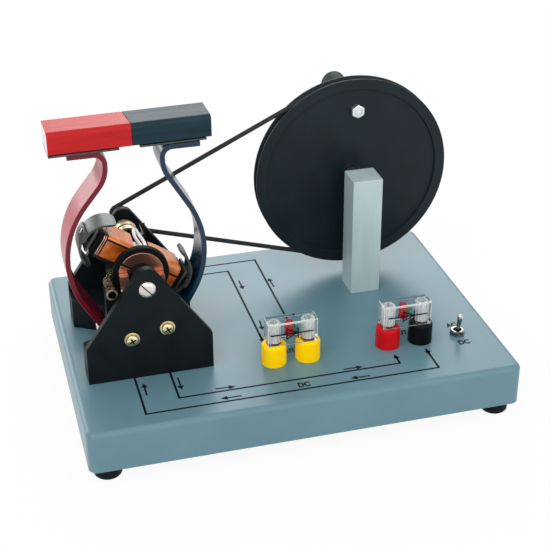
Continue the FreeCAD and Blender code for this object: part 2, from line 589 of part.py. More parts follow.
def poles():
    node("bobbins", both_poles("Bobbin", bobbin), ARMATURE)
    node("coils", both_poles("Coil", coil), ARMATURE)
    node("end_caps", both_poles("EndCap", end_cap), ARMATURE)
    node("pole_shoes", both_poles("Shoe", shoe_leaves), ARMATURE)
    node("pole_screws", both_poles("PoleScrew", pole_screw), ARMATURE)


def commutator():
    face = "discFront + segmentThick"
    bore = "shaftRadius + screwGap"
    disc = [(bore, "hubFront"), ("hubRadius", "hubFront"), ("hubRadius", face),
            ("segmentRadius + screwGap", face), ("segmentRadius + screwGap", "discFront"),
            ("discRadius", "discFront"), ("discRadius", "discFront + discThick"),
            (bore, "discFront + discThick")]
    node("commutator_disc", [turned("CommutatorDisc", disc, (0, 0, 0), "back")], ARMATURE)
    ring = turned("SegmentRing", tube("hubRadius + screwGap", "segmentRadius", "discFront - screwGap",
                                      face + " - screwGap"), (0, 0, 0), "back")
    slot = box("SegmentSlot", "2 * segmentRadius", "3 * segmentThick", "segmentSlot",
               ("-segmentRadius", "discFront - segmentThick", "-segmentSlot / 2"))
    node("commutator_segments", [cut("Segments", ring, [slot])], ARMATURE)


def slip_rings():
    bore = "shaftRadius + screwGap"
    gap = "frontRing + ringWidth + screwGap"
    hub = [(bore, "ringHubFront"), ("ringFlange", "ringHubFront"),
           ("ringFlange", "frontRing - screwGap"), ("ringHubRadius", "frontRing - screwGap"),
           ("ringHubRadius", gap), ("ringFlange", gap), ("ringFlange", "rearRing - screwGap"),
           ("ringHubRadius", "rearRing - screwGap"), ("ringHubRadius", "ringHubBack"), (bore, "ringHubBack")]
    node("slip_ring_hub", [turned("RingHub", hub, (0, 0, 0), "back")], ARMATURE)
    node("slip_rings", [turned(name, tube("ringHubRadius + screwGap", "ringRadius", start,
                                          start + " + ringWidth"), (0, 0, 0), "back")
                        for name, start in (("FrontRing", "frontRing"), ("RearRing", "rearRing"))], ARMATURE)
    start = "discFront + discThick + screwGap"
    node("armature_leads", [rod(name, "leadRadius", f"frontRing - screwGap - ({start})",
                                (f"{side} * leadSide", start, f"{side} * leadHeight"), "back")
                            for name, side in (("LeadUpper", 1), ("LeadLower", -1))], ARMATURE)


# brushes and their terminals ---------------------------------------------------------------------------

def dc_brushes():
    """Leaf springs that rise from the front plate and bear on the commutator's face."""
    thick = value("leafSpring")
    wall = value("plateInside") - value("screwGap") - thick / 2
    face = value("brushGap + screwGap + contactBlock - discFront") + thick / 2
    bend, lean = value("brushBend"), value("brushLean")
    slant = (wall - face - 2 * bend * (1 - math.cos(math.radians(lean)))) / math.sin(math.radians(lean))
    rise = 2 * bend * math.sin(math.radians(lean)) + slant * math.cos(math.radians(lean))
    tip = value("brushTip")
    brushes = []
    for number, ((x, z), contact) in enumerate(zip(BRUSH_SPOTS, CONTACTS)):
        low = value(contact) - tip / 2
        foot = value(z) - value("brushTail")
        moves = [("run", low - rise - foot, 0), ("bend", bend, -lean), ("run", slant, 0),
                 ("bend", bend, lean), ("run", tip, 0)]
        leaf = ribbon(f"DcLeaf{number}", (-wall, foot), 90, moves, thick, value("brushWidth"))
        turned_leaf = doc.addObject("Part::Compound", f"DcLeafTurned{number}")
        turned_leaf.Links = [leaf]
        turned_leaf.setExpression("Placement", placing(x, 0, 0, (0, 0, 1), 90))
        hole = rod(f"DcHole{number}", "brushScrewRadius + screwGap", "leafSpring + 2 * drillPast",
                   (x, "-plateInside - drillPast", z), "back")
        pad = block(f"DcPad{number}", "brushWidth", "contactBlock", "brushTip", x,
                    "discFront - brushGap - screwGap - contactBlock / 2", contact + " - brushTip / 2")
        brushes.append(joined(f"DcBrush{number}", [cut(f"DcDrilled{number}", turned_leaf, [hole]), pad]))
    node("dc_brushes", brushes, MOTOR)


def ac_brushes():
    """Angled springs that rise from the rear plate, each with a pad on its own slip ring."""
    wall = "plateInside - screwGap - leafSpring"
    pad_at = "ringRadius + brushGap"
    inside = pad_at + " + fingerOffset"
    brushes = []
    for side, (x, z), start in ((-1, BRUSH_SPOTS[0], "rearRing"), (1, BRUSH_SPOTS[1], "frontRing")):
        name = "AcLeft" if side < 0 else "AcRight"
        tab_x = "-brushSide - brushWidth / 2" if side < 0 else inside
        tab = box(name + "Tab", f"brushSide + brushWidth / 2 - ({inside})", "leafSpring",
                  f"fingerHigh / 2 + brushTail - ({z})", (tab_x, wall, f"{z} - brushTail"))
        finger_x = inside if side > 0 else f"-({inside}) - leafSpring"
        finger = box(name + "Finger", "leafSpring", f"{wall} + leafSpring - {start}", "fingerHigh",
                     (finger_x, start, "-fingerHigh / 2"))
        pad_x = pad_at if side > 0 else f"-({inside})"
        pad = box(name + "Pad", "fingerOffset", "ringWidth", "fingerHigh / 2",
                  (pad_x, start, "-fingerHigh / 4"))
        hole = rod(name + "Hole", "brushScrewRadius + screwGap", "leafSpring + 2 * drillPast",
                   (x, wall + " - drillPast", z), "back")
        brushes.append(cut(name + "Brush", joined(name + "Strip", [tab, finger, pad]), [hole]))
    node("ac_brushes", brushes, MOTOR)


def brush_fasteners():
    screws, washers, nuts = [], [], []
    grip = "plateThick + leafSpring + 2 * screwGap"
    for number, (x, z) in enumerate(BRUSH_SPOTS):
        for end, way, face, sign in (("Front", "back", FRONT_FACE, -1), ("Rear", "front", BACK_FACE, 1)):
            name = f"{end}{number}"
            under = f"{face} + ({sign}) * (screwGap + washerThick)"
            washers.append(turned("Washer" + name, tube("brushScrewRadius + screwGap", "washerRadius", 0,
                                                        "washerThick"), (x, under, z), way))
            bite = f"washerThick + {grip} + nutHeight + brushScrewSpare"
            screws.append(pan_screw("BrushScrew" + name, "brushScrewRadius", bite, (x, under, z), way))
            inside = f"{face} - ({sign}) * ({grip} + screwGap)"
            nuts.append(hexagon("BrushNut" + name, "nutAcross", "nutHeight", "brushScrewRadius + screwGap",
                                (x, inside, z), way))
    node("brush_screws", screws, MOTOR)
    node("brush_washers", washers, MOTOR)
    node("brush_nuts", nuts, MOTOR)


def terminal_sleeve():
    length = "sleeveBack - sleeveFront"
    outline = [("sleeveBore", 0), ("sleeveFlange", 0), ("sleeveFlange", "sleeveFlangeThick"),
               ("sleeveRadius", "sleeveFlangeThick"), ("sleeveRadius", length), ("sleeveBore", length)]
    node("terminal_sleeve", [turned("TerminalSleeve", outline, ("sleeveX", "sleeveFront", "sleeveZ"),
                                    "back")], MOTOR)
    bottom = "blockHeight - axisHeight"
    stand = box("TerminalStand", "sleevePostSide", "sleevePostDepth", f"sleeveZ - ({bottom})",
                ("sleeveX - sleevePostSide / 2", "sleevePostFront", bottom))
    saddle = rod("TerminalSaddle", "sleeveRadius + screwGap", "sleevePostDepth",
                 ("sleeveX", "sleevePostFront", "sleeveZ"), "back")
    node("terminal_post", [cut("TerminalPost", stand, [saddle])], MOTOR)


# wheel, crank and belt -----------------------------------------------------------------------------------

def support_post():
    bar = block("PostBar", "postWide", "postDeep", "postHeight", "wheelX", "postY", "baseTop")
    axle_hole = rod("PostAxleHole", "axleThread + screwGap", "axleBite + drillPast",
                    ("wheelX", "postBack", "wheelZ"), "front")
    screw_hole = rod("PostScrewHole", "postScrewRadius + screwGap", "postScrewBite + drillPast",
                     ("wheelX", "postY", "baseTop"))
    node("support_post", [cut("Post", bar, [axle_hole, screw_hole])])
    node("post_screw", [pan_screw("PostScrew", "postScrewRadius", "baseWall + postScrewBite",
                                  ("wheelX", "postY", "ceiling"), "up")])
    reach = "wheelBack + beltGap - (postBack)"
    axle = [(0, "-axleBite"), ("axleThread", "-axleBite"), ("axleThread", 0), ("axleRadius", 0),
            ("axleRadius", reach), ("axleHead", reach), ("axleHead", reach + " + axleHeadThick"),
            (0, reach + " + axleHeadThick")]
    node("axle", [turned("Axle", axle, ("wheelX", "postBack", "wheelZ"), "back")])
    node("axle_spacer", [turned("AxleSpacer", tube("axleRadius + screwGap", "spacerRadius", 0,
                                                   "wheelFront - beltGap - (postBack)"),
                                ("wheelX", "postBack", "wheelZ"), "back")])


def grooved(bore, radius, half, pitch, lands):
    """Profile of a belt pulley from its front land to its back land, about its own middle."""
    side = f"(grooveHalf + ({radius} - {pitch}) * tan(grooveAngle))"
    floor = f"({pitch} - beltRadius - beltGap)"
    floor_side = "(grooveHalf - (beltRadius + beltGap) * tan(grooveAngle))"
    rim = [(radius, f"-({half})"), (radius, "-" + side), (floor, "-" + floor_side), (floor, floor_side),
           (radius, side), (radius, half)]
    front = [(u, f"-({v})") for u, v in lands]
    return [(bore, f"-({half})")] + front + rim + list(reversed(lands)) + [(bore, half)]


def wheel():
    half = "wheelThick / 2"
    floor = f"{half} - wheelRecess"
    inner = "wheelRadius - wheelRim"
    lands = [("wheelHub", half), ("wheelHub", floor), (inner, floor), (inner, half)]
    profile = grooved("axleRadius + runGap", "wheelRadius", half, "wheelPitch", lands)
    disc = turned("WheelDisc", profile, ("wheelX", "beltY", "wheelZ"), "back")
    hole = rod("CrankHole", "crankBoltRadius + screwGap", "wheelThick", ("crankX", "wheelFront", "crankZ"),
               "back")
    node("wheel", [cut("Wheel", disc, [hole])])


def crank():
    web_front = "wheelFront + wheelRecess"
    head_seat = "gripEnd - gripRecess"
    length = f"{head_seat} + runGap - ({web_front}) + crankNutHeight"
    bolt = [(0, 0), ("crankBoltRadius", 0), ("crankBoltRadius", length), ("crankHeadRadius", length),
            ("crankHeadRadius", length + " + crankHeadThick"), (0, length + " + crankHeadThick")]
    node("crank_bolt", [turned("CrankBolt", bolt, ("crankX", f"{web_front} - crankNutHeight", "crankZ"),
                               "back")])
    node("crank_nut", [hexagon("CrankNut", "crankNutAcross", "crankNutHeight", "crankBoltRadius + screwGap",
                               ("crankX", f"{web_front} - screwGap", "crankZ"), "front")])
    grip = [("crankBoltRadius + runGap", 0), ("gripRadius - gripLip", 0), ("gripRadius", "gripLipLong"),
            ("gripRadius", "gripLength - gripBevel"), ("gripRadius - gripBevel", "gripLength"),
            ("gripRecessRadius", "gripLength"), ("gripRecessRadius", "gripLength - gripRecess"),
            ("crankBoltRadius + runGap", "gripLength - gripRecess")]
    node("crank_grip", [turned("CrankGrip", grip, ("crankX", "gripFront", "crankZ"), "back")])


def small_pulley():
    half = "pulleyThick / 2"
    profile = grooved("shaftRadius + screwGap", "pulleyRadius", half, "pulleyPitch", [])
    node("small_pulley", [turned("SmallPulley", profile, (0, "beltY - motorY", 0), "back")], ARMATURE)


def drive_belt():
    """A stiff round belt: it lies in the wheel's groove and folds to a blunt nose round the pulley."""
    large = FreeCAD.Vector(value("wheelX"), value("beltY"), value("wheelZ"))
    small = FreeCAD.Vector(value("motorX"), value("beltY"), value("motorZ"))
    span = (large - small).Length
    slope = math.degrees(math.atan2(large.z - small.z, large.x - small.x))
    pitch, nose, spread = value("wheelPitch"), value("beltNose"), value("beltSpread")
    lean = math.asin((pitch - spread) / span)
    fold = value("pulleyPitch") - nose
    bend_x, bend_z = -fold, (spread - nose - fold * math.sin(lean)) / math.cos(lean)

    def on(x, z):
        return FreeCAD.Vector(x, 0, z)

    corner = math.radians(45) + lean / 2
    far = on(span - pitch * math.sin(lean), pitch * math.cos(lean))
    leave = on(bend_x - nose * math.sin(lean), bend_z + nose * math.cos(lean))
    middle = on(bend_x - nose * math.sin(corner), bend_z + nose * math.cos(corner))
    tip = on(bend_x - nose, bend_z)
    far_low, leave_low, middle_low, tip_low = [on(spot.x, -spot.z) for spot in (far, leave, middle, tip)]
    path = [Part.LineSegment(leave, far), Part.Arc(far, on(span + pitch, 0), far_low),
            Part.LineSegment(far_low, leave_low), Part.Arc(leave_low, middle_low, tip_low),
            Part.LineSegment(tip_low, tip), Part.Arc(tip, middle, leave)]
    line = Part.Wire([curve.toShape() for curve in path])
    start = Part.Circle(leave, (far - leave).normalize(), value("beltRadius"))
    swept = line.makePipeShell([Part.Wire(start.toShape())], True, False)
    piece = doc.addObject("Part::Feature", "BeltLoop")
    piece.Shape = swept if swept.Volume > 0 else swept.reversed()
    piece.Placement = FreeCAD.Placement(small, FreeCAD.Rotation(FreeCAD.Vector(0, 1, 0), -slope))
    section = math.pi * value("beltRadius") ** 2
    print("belt volume over section times length:", round(piece.Shape.Volume / (section * line.Length), 4))
    node("drive_belt", [piece])


# sockets, LED plugs and switch ---------------------------------------------------------------------------

def sockets():
    bore = "contactRadius + screwGap"
    recess_floor = "socketTall - socketRecessDeep"
    cap = [(bore, "-socketBodyLength"), ("socketBodyRadius", "-socketBodyLength"), ("socketBodyRadius", 0),
           ("socketRadius", 0), ("socketRadius", "socketTall - socketSlopeTall - socketRimTall"),
           ("socketRadius - socketRim", "socketTall - socketSlopeTall"),
           ("socketRadius - socketRim - socketSlope", "socketTall"),
           ("socketRecess", "socketTall"), ("socketRecess", recess_floor), (bore, recess_floor)]
    colours = {"yellow_sockets": ("yellowLeft", "yellowRight"), "red_socket": ("red",),
               "black_socket": ("black",)}
    for label, names in colours.items():
        node(label, [turned("Cap" + name, cap, (SOCKETS[name], "socketY", "baseTop")) for name in names])
    tail, floor = "-socketBodyLength - contactTail", "socketTall - pinLength - pinRoom"
    contact = [(0, tail), ("contactRadius", tail), ("contactRadius", recess_floor),
               ("contactBore", recess_floor), ("contactBore", floor), (0, floor)]
    node("socket_contacts", [turned("Contact" + name, contact, (x, "socketY", "baseTop"))
                             for name, x in SOCKETS.items()])
    node("socket_nuts", [hexagon("SocketNut" + name, "socketNutAcross", "socketNutHeight",
                                 "socketBodyRadius + screwGap", (x, "socketY", "ceiling - screwGap"), "down")
                         for name, x in SOCKETS.items()])


def led_plug(side, x):
    """A clear block with two LEDs inside and two 4 mm pins that plug into a pair of sockets."""
    seat = "socketTop + screwGap"
    body = block(side + "LedBar", "ledLong", "ledDeep", "ledTall", x, "socketY", seat)
    pins = [f"{x} - socketPitch / 2", f"{x} + socketPitch / 2"]
    lamps = [f"{x} - ledSpread", f"{x} + ledSpread"]
    holes = [rod(f"{side}PinHole{number}", "pinRadius + screwGap", "pinRise + screwGap",
                 (spot, "socketY", seat)) for number, spot in enumerate(pins)]
    holes += [rod(f"{side}LampHole{number}", "ledRadius + ledRoom", "ledRise + ledBody + ledRadius + ledRoom",
                  (spot, "socketY", seat)) for number, spot in enumerate(lamps)]
    node(side + "_led_block", [cut(side + "LedBlock", body, holes)])
    node(side + "_led_pins", [turned(f"{side}Pin{number}", plain_rod("pinRadius", "-pinLength", "pinRise"),
                                     (spot, "socketY", seat)) for number, spot in enumerate(pins)])
    dome = [(0, 0), ("ledRadius", 0), ("ledRadius", "ledBody"),
            ("ledRadius * cos(30)", "ledBody + ledRadius * sin(30)"),
            ("ledRadius * cos(60)", "ledBody + ledRadius * sin(60)"), (0, "ledBody + ledRadius")]
    node(side + "_leds", [turned(f"{side}Lamp{number}", dome, (spot, "socketY", f"{seat} + ledRise"))
                          for number, spot in enumerate(lamps)])


def toggle_switch():
    case = block("ToggleCase", "toggleBodyWide", "toggleBodyLong", "toggleBodyTall", "toggleX", "socketY",
                 "ceiling - screwGap - toggleBodyTall")
    neck = rod("ToggleNeck", "toggleBush", "toggleBushTall + baseWall + screwGap",
               ("toggleX", "socketY", "ceiling - screwGap"))
    throat = rod("ToggleThroat", "toggleBore", "toggleBushTall + baseWall + screwGap",
                 ("toggleX", "socketY", "ceiling - screwGap"))
    node("toggle_body", [cut("ToggleBody", joined("ToggleMoulding", [case, neck]), [throat])])
    node("toggle_nut", [hexagon("ToggleNut", "toggleNutAcross", "toggleNutHeight", "toggleBush + screwGap",
                                ("toggleX", "socketY", "baseTop + screwGap"))])
    lever = [(0, "-toggleBall"), ("toggleBall * 0.7", "-toggleBall * 0.7"), ("toggleBall", 0),
             ("toggleBall * 0.7", "toggleBall * 0.7"), ("toggleLever", "toggleBall"),
             ("toggleLeverTip", "toggleLeverTall - toggleCrown"),
             ("toggleLeverTip * 0.8", "toggleLeverTall - toggleRound"), (0, "toggleLeverTall")]
    lean = placing("toggleX - originX", "socketY - originY", "baseTop + togglePivot", (1, 0, 0), "toggleLean")
    node("toggle_lever", [turned("ToggleLever", lever)], lean)


def check(objects):
    """Stop before anything is written if an object failed or a node has a bad shape."""
    for item in objects:
        if "Invalid" in item.State or "Error" in item.State:
            raise RuntimeError(item.Label + " failed: " + str(item.State))
    for item in nodes:
        if item.Shape.isNull() or not item.Shape.isValid() or not item.Shape.Solids:
            raise RuntimeError(item.Label + " has no valid shape")


base_tray()
bottom_cover()
feet()
bearing_plate("front_bearing_plate", FRONT_FACE, "pivotRadius + screwGap")
bearing_plate("rear_bearing_plate", "plateInside", "bushRadius + screwGap")
pole_block()
bearings()
pole_strips()
magnet()
armature_core()
poles()
commutator()
slip_rings()
dc_brushes()
ac_brushes()
brush_fasteners()
terminal_sleeve()
support_post()
wheel()
crank()
small_pulley()
drive_belt()
sockets()
led_plug("left", "yellowX")
led_plug("right", "redBlackX")
toggle_switch()
doc.recompute()
check(doc.Objects)

os.makedirs("parts", exist_ok=True)
for item in nodes:
    item.Shape.exportStep("parts/" + item.Label + ".step")
    print(item.Label, len(item.Shape.Solids), round(sum(part.Volume for part in item.Shape.Solids), 1))
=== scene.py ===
import json
import math
import bmesh
import bpy
from mathutils import Matrix, Vector

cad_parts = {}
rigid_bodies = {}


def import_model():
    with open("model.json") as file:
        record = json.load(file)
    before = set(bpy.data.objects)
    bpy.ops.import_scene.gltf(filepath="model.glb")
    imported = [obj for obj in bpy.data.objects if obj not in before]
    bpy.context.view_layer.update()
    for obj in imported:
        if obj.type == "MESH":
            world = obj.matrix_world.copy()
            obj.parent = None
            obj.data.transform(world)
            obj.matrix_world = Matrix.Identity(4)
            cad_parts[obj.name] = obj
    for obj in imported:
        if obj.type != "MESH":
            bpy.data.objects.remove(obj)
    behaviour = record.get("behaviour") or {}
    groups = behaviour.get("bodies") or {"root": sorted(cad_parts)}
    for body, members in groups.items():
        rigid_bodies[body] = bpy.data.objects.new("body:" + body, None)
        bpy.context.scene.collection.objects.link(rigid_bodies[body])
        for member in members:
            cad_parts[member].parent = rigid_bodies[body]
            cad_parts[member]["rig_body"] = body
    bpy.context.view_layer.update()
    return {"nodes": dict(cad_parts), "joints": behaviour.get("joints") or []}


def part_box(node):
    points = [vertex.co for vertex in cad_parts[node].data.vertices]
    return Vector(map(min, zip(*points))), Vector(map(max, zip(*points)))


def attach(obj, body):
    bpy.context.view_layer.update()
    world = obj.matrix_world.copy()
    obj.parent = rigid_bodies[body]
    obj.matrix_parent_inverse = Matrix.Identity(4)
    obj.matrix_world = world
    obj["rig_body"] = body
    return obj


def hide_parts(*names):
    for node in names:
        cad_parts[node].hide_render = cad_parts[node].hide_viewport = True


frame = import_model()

mm = 0.001
weld = 0.002 * mm  # points nearer than this are one
nodes = frame["nodes"]
bodyOf = {name: piece["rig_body"] for name, piece in nodes.items()}
motor = Vector(next(joint["pos_m"] for joint in frame["joints"] if joint["name"] == "armature_spin"))
armatureTurn = 33.5  # degrees about the shaft, at rest
armatureSeat = Matrix.Translation(motor) @ Matrix.Rotation(math.radians(armatureTurn), 4, "Y")


# the eye's place in millimetres, and which way its right, its top and its view point
cameraSettings = {
    "place": (-163.589, -615.449, 413.9), "right": (0.9645271, -0.2639310, -0.0052916),
    "up": (0.1331954, 0.4692558, 0.8729593), "ahead": (0.2279179, 0.8426977, -0.4877643),
    "lens": 84.36, "sensor": 36.0, "near": 0.05, "far": 20,
}


def placeCamera(settings):
    data = bpy.data.cameras.new("viewCamera")
    data.lens = settings["lens"]
    data.sensor_width = settings["sensor"]
    data.clip_start = settings["near"]
    data.clip_end = settings["far"]
    camera = bpy.data.objects.new("viewCamera", data)
    bpy.context.scene.collection.objects.link(camera)
    right, up, ahead = (Vector(settings[key]) for key in ("right", "up", "ahead"))
    turn = Matrix((right, up, -ahead)).transposed().to_4x4()
    camera.matrix_world = Matrix.Translation(Vector(settings["place"]) * mm) @ turn
    bpy.context.scene.camera = camera


placeCamera(cameraSettings)
print("camera placed")


def clearSelection():
    if bpy.context.object and bpy.context.object.mode != "OBJECT":
        bpy.ops.object.mode_set(mode="OBJECT")
    bpy.ops.object.select_all(action="DESELECT")


def selectOnly(pieces):
    clearSelection()
    for piece in pieces:
        piece.select_set(True)
    bpy.context.view_layer.objects.active = pieces[0]


def settle(piece):
    # works a piece's place, turn and size into its mesh
    selectOnly([piece])
    bpy.ops.object.transform_apply()
    return piece


def startEdit(piece, kind, action="DESELECT"):
    selectOnly([piece])
    bpy.ops.object.mode_set(mode="EDIT")
    bpy.ops.mesh.select_mode(type=kind)
    bpy.ops.mesh.select_all(action=action)


def endEdit():
    bpy.ops.object.mode_set(mode="OBJECT")


def bevelEdges(piece, width, segments, test):
    # rounds the edges that pass the test
    startEdit(piece, "EDGE")
    shell = bmesh.from_edit_mesh(piece.data)
    for edge in shell.edges:
        if test(edge):
            edge.select_set(True)
    bmesh.update_edit_mesh(piece.data)
    bpy.ops.mesh.bevel(offset=width * mm, segments=segments)
    endEdit()


def runsAlong(edge, axis, length):
    # whether an edge goes further than a length along an axis, by the axis's number
    return abs(edge.verts[0].co[axis] - edge.verts[1].co[axis]) > length * mm


def modify(piece, kind, settings):
    modifier = piece.modifiers.new(kind.lower(), kind)
    for key, value in settings.items():
        setattr(modifier, key, value)
    selectOnly([piece])
    bpy.ops.object.modifier_apply(modifier=modifier.name)


def soften(piece, width, segments):
    # rounds the edges between faces that meet at more than 35 degrees
    modify(piece, "BEVEL", {"width": width * mm, "segments": segments, "limit_method": "ANGLE",
                            "angle_limit": math.radians(35), "harden_normals": False})


def join(pieces):
    selectOnly(pieces)
    bpy.ops.object.join()
    return bpy.context.object


def carve(piece, cutter, way="DIFFERENCE"):
    modify(piece, "BOOLEAN", {"operation": way, "solver": "EXACT", "object": cutter})
    bpy.data.objects.remove(cutter)


def axisOf(way):
    # unit vector along an axis, "-Y" for towards the front
    axis = Vector({"X": (1, 0, 0), "Y": (0, 1, 0), "Z": (0, 0, 1)}[way[-1]])
    return -axis if way[0] == "-" else axis


def lay(piece, place, way="Z"):
    # points a piece that is drawn along Z, then puts its zero at a place
    turn = axisOf(way).to_track_quat("Z", "Y").to_matrix().to_4x4()
    piece.matrix_world = Matrix.Translation(Vector(place) * mm) @ turn @ piece.matrix_world
    return settle(piece)


def addRod(radius, length, start=0, sides=48):
    # upright cylinder that starts at a height
    clearSelection()
    bpy.ops.mesh.primitive_cylinder_add(vertices=sides, radius=radius * mm, depth=length * mm,
                                        location=(0, 0, (start + length / 2) * mm))
    return settle(bpy.context.object)


def addBlock(low, high):
    low, high = Vector(low) * mm, Vector(high) * mm
    clearSelection()
    bpy.ops.mesh.primitive_cube_add(size=1, location=(low + high) / 2)
    piece = bpy.context.object
    piece.scale = high - low
    return settle(piece)


def addLathe(profile, place=(0, 0, 0), way="Z", sides=48):
    # a closed outline of (radius, height) pairs spun about its own axis
    clearSelection()
    bpy.ops.mesh.primitive_circle_add(vertices=len(profile), radius=mm)
    piece = bpy.context.object
    for vertex, (radius, height) in zip(piece.data.vertices, profile):
        vertex.co = (radius * mm, 0, height * mm)
    startEdit(piece, "VERT", "SELECT")
    bpy.ops.mesh.spin(steps=sides, angle=math.tau, center=(0, 0, 0), axis=(0, 0, 1))
    bpy.ops.mesh.select_all(action="SELECT")
    bpy.ops.mesh.remove_doubles(threshold=weld)
    bpy.ops.mesh.dissolve_degenerate(threshold=weld)
    bpy.ops.mesh.select_all(action="SELECT")
    bpy.ops.mesh.normals_make_consistent(inside=False)
    endEdit()
    return lay(piece, place, way)


def addWire(points, radius):
    # round wire along a smooth line
    curve = bpy.data.curves.new("wire", "CURVE")
    curve.dimensions = "3D"
    curve.bevel_depth = radius * mm
    curve.bevel_resolution = 3
    curve.use_fill_caps = True
    line = curve.splines.new("NURBS")
    line.points.add(len(points) - 1)
    for point, spot in zip(line.points, points):
        point.co = (*(Vector(spot) * mm), 1)
    line.order_u = 4
    line.use_endpoint_u = True
    line.resolution_u = 6
    wire = bpy.data.objects.new("wire", curve)
    bpy.context.scene.collection.objects.link(wire)
    selectOnly([wire])
    bpy.ops.object.convert(target="MESH")
    return bpy.context.object


def copyOf(name):
    # the CAD shape as a welded mesh, with faces that lie within 0.4 degrees of each other made one
    piece = bpy.data.objects.new(name + "Copy", nodes[name].data.copy())
    bpy.context.scene.collection.objects.link(piece)
    startEdit(piece, "VERT", "SELECT")
    bpy.ops.mesh.remove_doubles(threshold=weld)
    bpy.ops.mesh.dissolve_limited(angle_limit=math.radians(0.4))
    endEdit()
    return piece


def sliceMesh(piece, way, *spots):
    # adds an edge loop where a plane across the axis cuts the piece, at each spot along it
    axis = axisOf(way)
    startEdit(piece, "FACE")
    for spot in spots:
        bpy.ops.mesh.select_all(action="SELECT")
        bpy.ops.mesh.bisect(plane_co=axis * spot * mm, plane_no=axis)
    endEdit()


def giveSlots(piece, kinds):
    piece.data.materials.clear()
    for kind in kinds:
        piece.data.materials.append(finish[kind])


def bandFaces(piece, number, test):
    # gives the faces that pass the test the finish of that number
    for face in piece.data.polygons:
        if test(face.center / mm, face.normal):
            face.material_index = number


def finishPiece(piece, name, kinds, node=None, body=None, seat=None, smooth=35):
    # the last work on a piece: its place, shading, finishes and what it rides on. One that stands for a
    # CAD node rides on that node's body, and that node is hidden
    if seat is not None:
        piece.matrix_world = seat @ piece.matrix_world
    settle(piece)
    bpy.ops.object.shade_smooth_by_angle(angle=math.radians(smooth))
    modify(piece, "WEIGHTED_NORMAL", {"keep_sharp": True, "weight": 60})
    piece.name = name
    piece.data.name = name
    marks = [face.material_index for face in piece.data.polygons]
    giveSlots(piece, kinds)
    piece.data.polygons.foreach_set("material_index", marks)
    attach(piece, body or bodyOf[node])
    if node:
        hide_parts(node)


def colour(code):
    # sRGB hex to the linear values that the shaders take
    parts = [int(code[start:start + 2], 16) / 255 for start in (1, 3, 5)]
    linear = [part / 12.92 if part <= 0.04045 else ((part + 0.055) / 1.055) ** 2.4 for part in parts]
    return linear + [1.0]


def emptyTree(owner):
    # the node tree of a material or a world, with nothing in it
    owner.use_nodes = True
    owner.node_tree.nodes.clear()
    return owner.node_tree


def addNode(tree, kind, settings):
    # a key is a property of the node or one of its inputs, and a socket as value makes a link
    node = tree.nodes.new(kind)
    for key, value in settings.items():
        if isinstance(key, str) and hasattr(node, key):
            setattr(node, key, value)
        elif isinstance(value, bpy.types.NodeSocket):
            tree.links.new(value, node.inputs[key])
        else:
            node.inputs[key].default_value = value
    return node


def makeFinish(name, look):
    # colour varies over patches, roughness with it, and a fine grain raises the surface
    material = bpy.data.materials.new(name)
    tree = emptyTree(material)
    (first, second), (low, high), (size, rise) = look["tones"], look["rough"], look["grain"]
    place = addNode(tree, "ShaderNodeTexCoord", {}).outputs["Object"]
    stretched = addNode(tree, "ShaderNodeMapping", {
        "Vector": place, "Scale": look.get("stretch", (1, 1, 1))})
    patches = addNode(tree, "ShaderNodeTexNoise", {
        "Vector": stretched.outputs[0], "Detail": 3, "Scale": 1000 / look["patch"], "Roughness": 0.6})
    # noise keeps near its middle, so that part of it is spread over the whole range
    spread = addNode(tree, "ShaderNodeMapRange", {
        "Value": patches.outputs["Fac"], "From Min": 0.35, "From Max": 0.65})
    tone = addNode(tree, "ShaderNodeMix", {
        "data_type": "RGBA", "Factor": spread.outputs[0], 6: colour(first), 7: colour(second)})
    shade = tone.outputs[2]
    rough = addNode(tree, "ShaderNodeMapRange", {
        "Value": patches.outputs["Fac"], "From Min": 0.3, "From Max": 0.7, "To Min": low, "To Max": high})
    grain = addNode(tree, "ShaderNodeTexNoise", {
        "Vector": stretched.outputs[0], "Detail": 2, "Scale": 1000 / size})
    bump = addNode(tree, "ShaderNodeBump", {
        "Height": grain.outputs["Fac"], "Strength": 1, "Distance": rise * mm})
    shader = addNode(tree, "ShaderNodeBsdfPrincipled", {
        "Base Color": shade, "Roughness": rough.outputs[0], "Normal": bump.outputs[0],
        "Metallic": look.get("metallic", 0.0), "Coat Weight": look.get("coat", 0.0), "Coat Roughness": 0.1,
        "Transmission Weight": look.get("clear", 0.0), "Specular IOR Level": look.get("specular", 0.5)})
    if "ior" in look:
        shader.inputs["IOR"].default_value = look["ior"]
    if "glow" in look:
        # painted glow: the surface gives off a little light in its own colour, more than the lamps give it
        tree.links.new(shade, shader.inputs["Emission Color"])
        shader.inputs["Emission Strength"].default_value = look["glow"]
    addNode(tree, "ShaderNodeOutputMaterial", {"Surface": shader.outputs[0]})
    return material


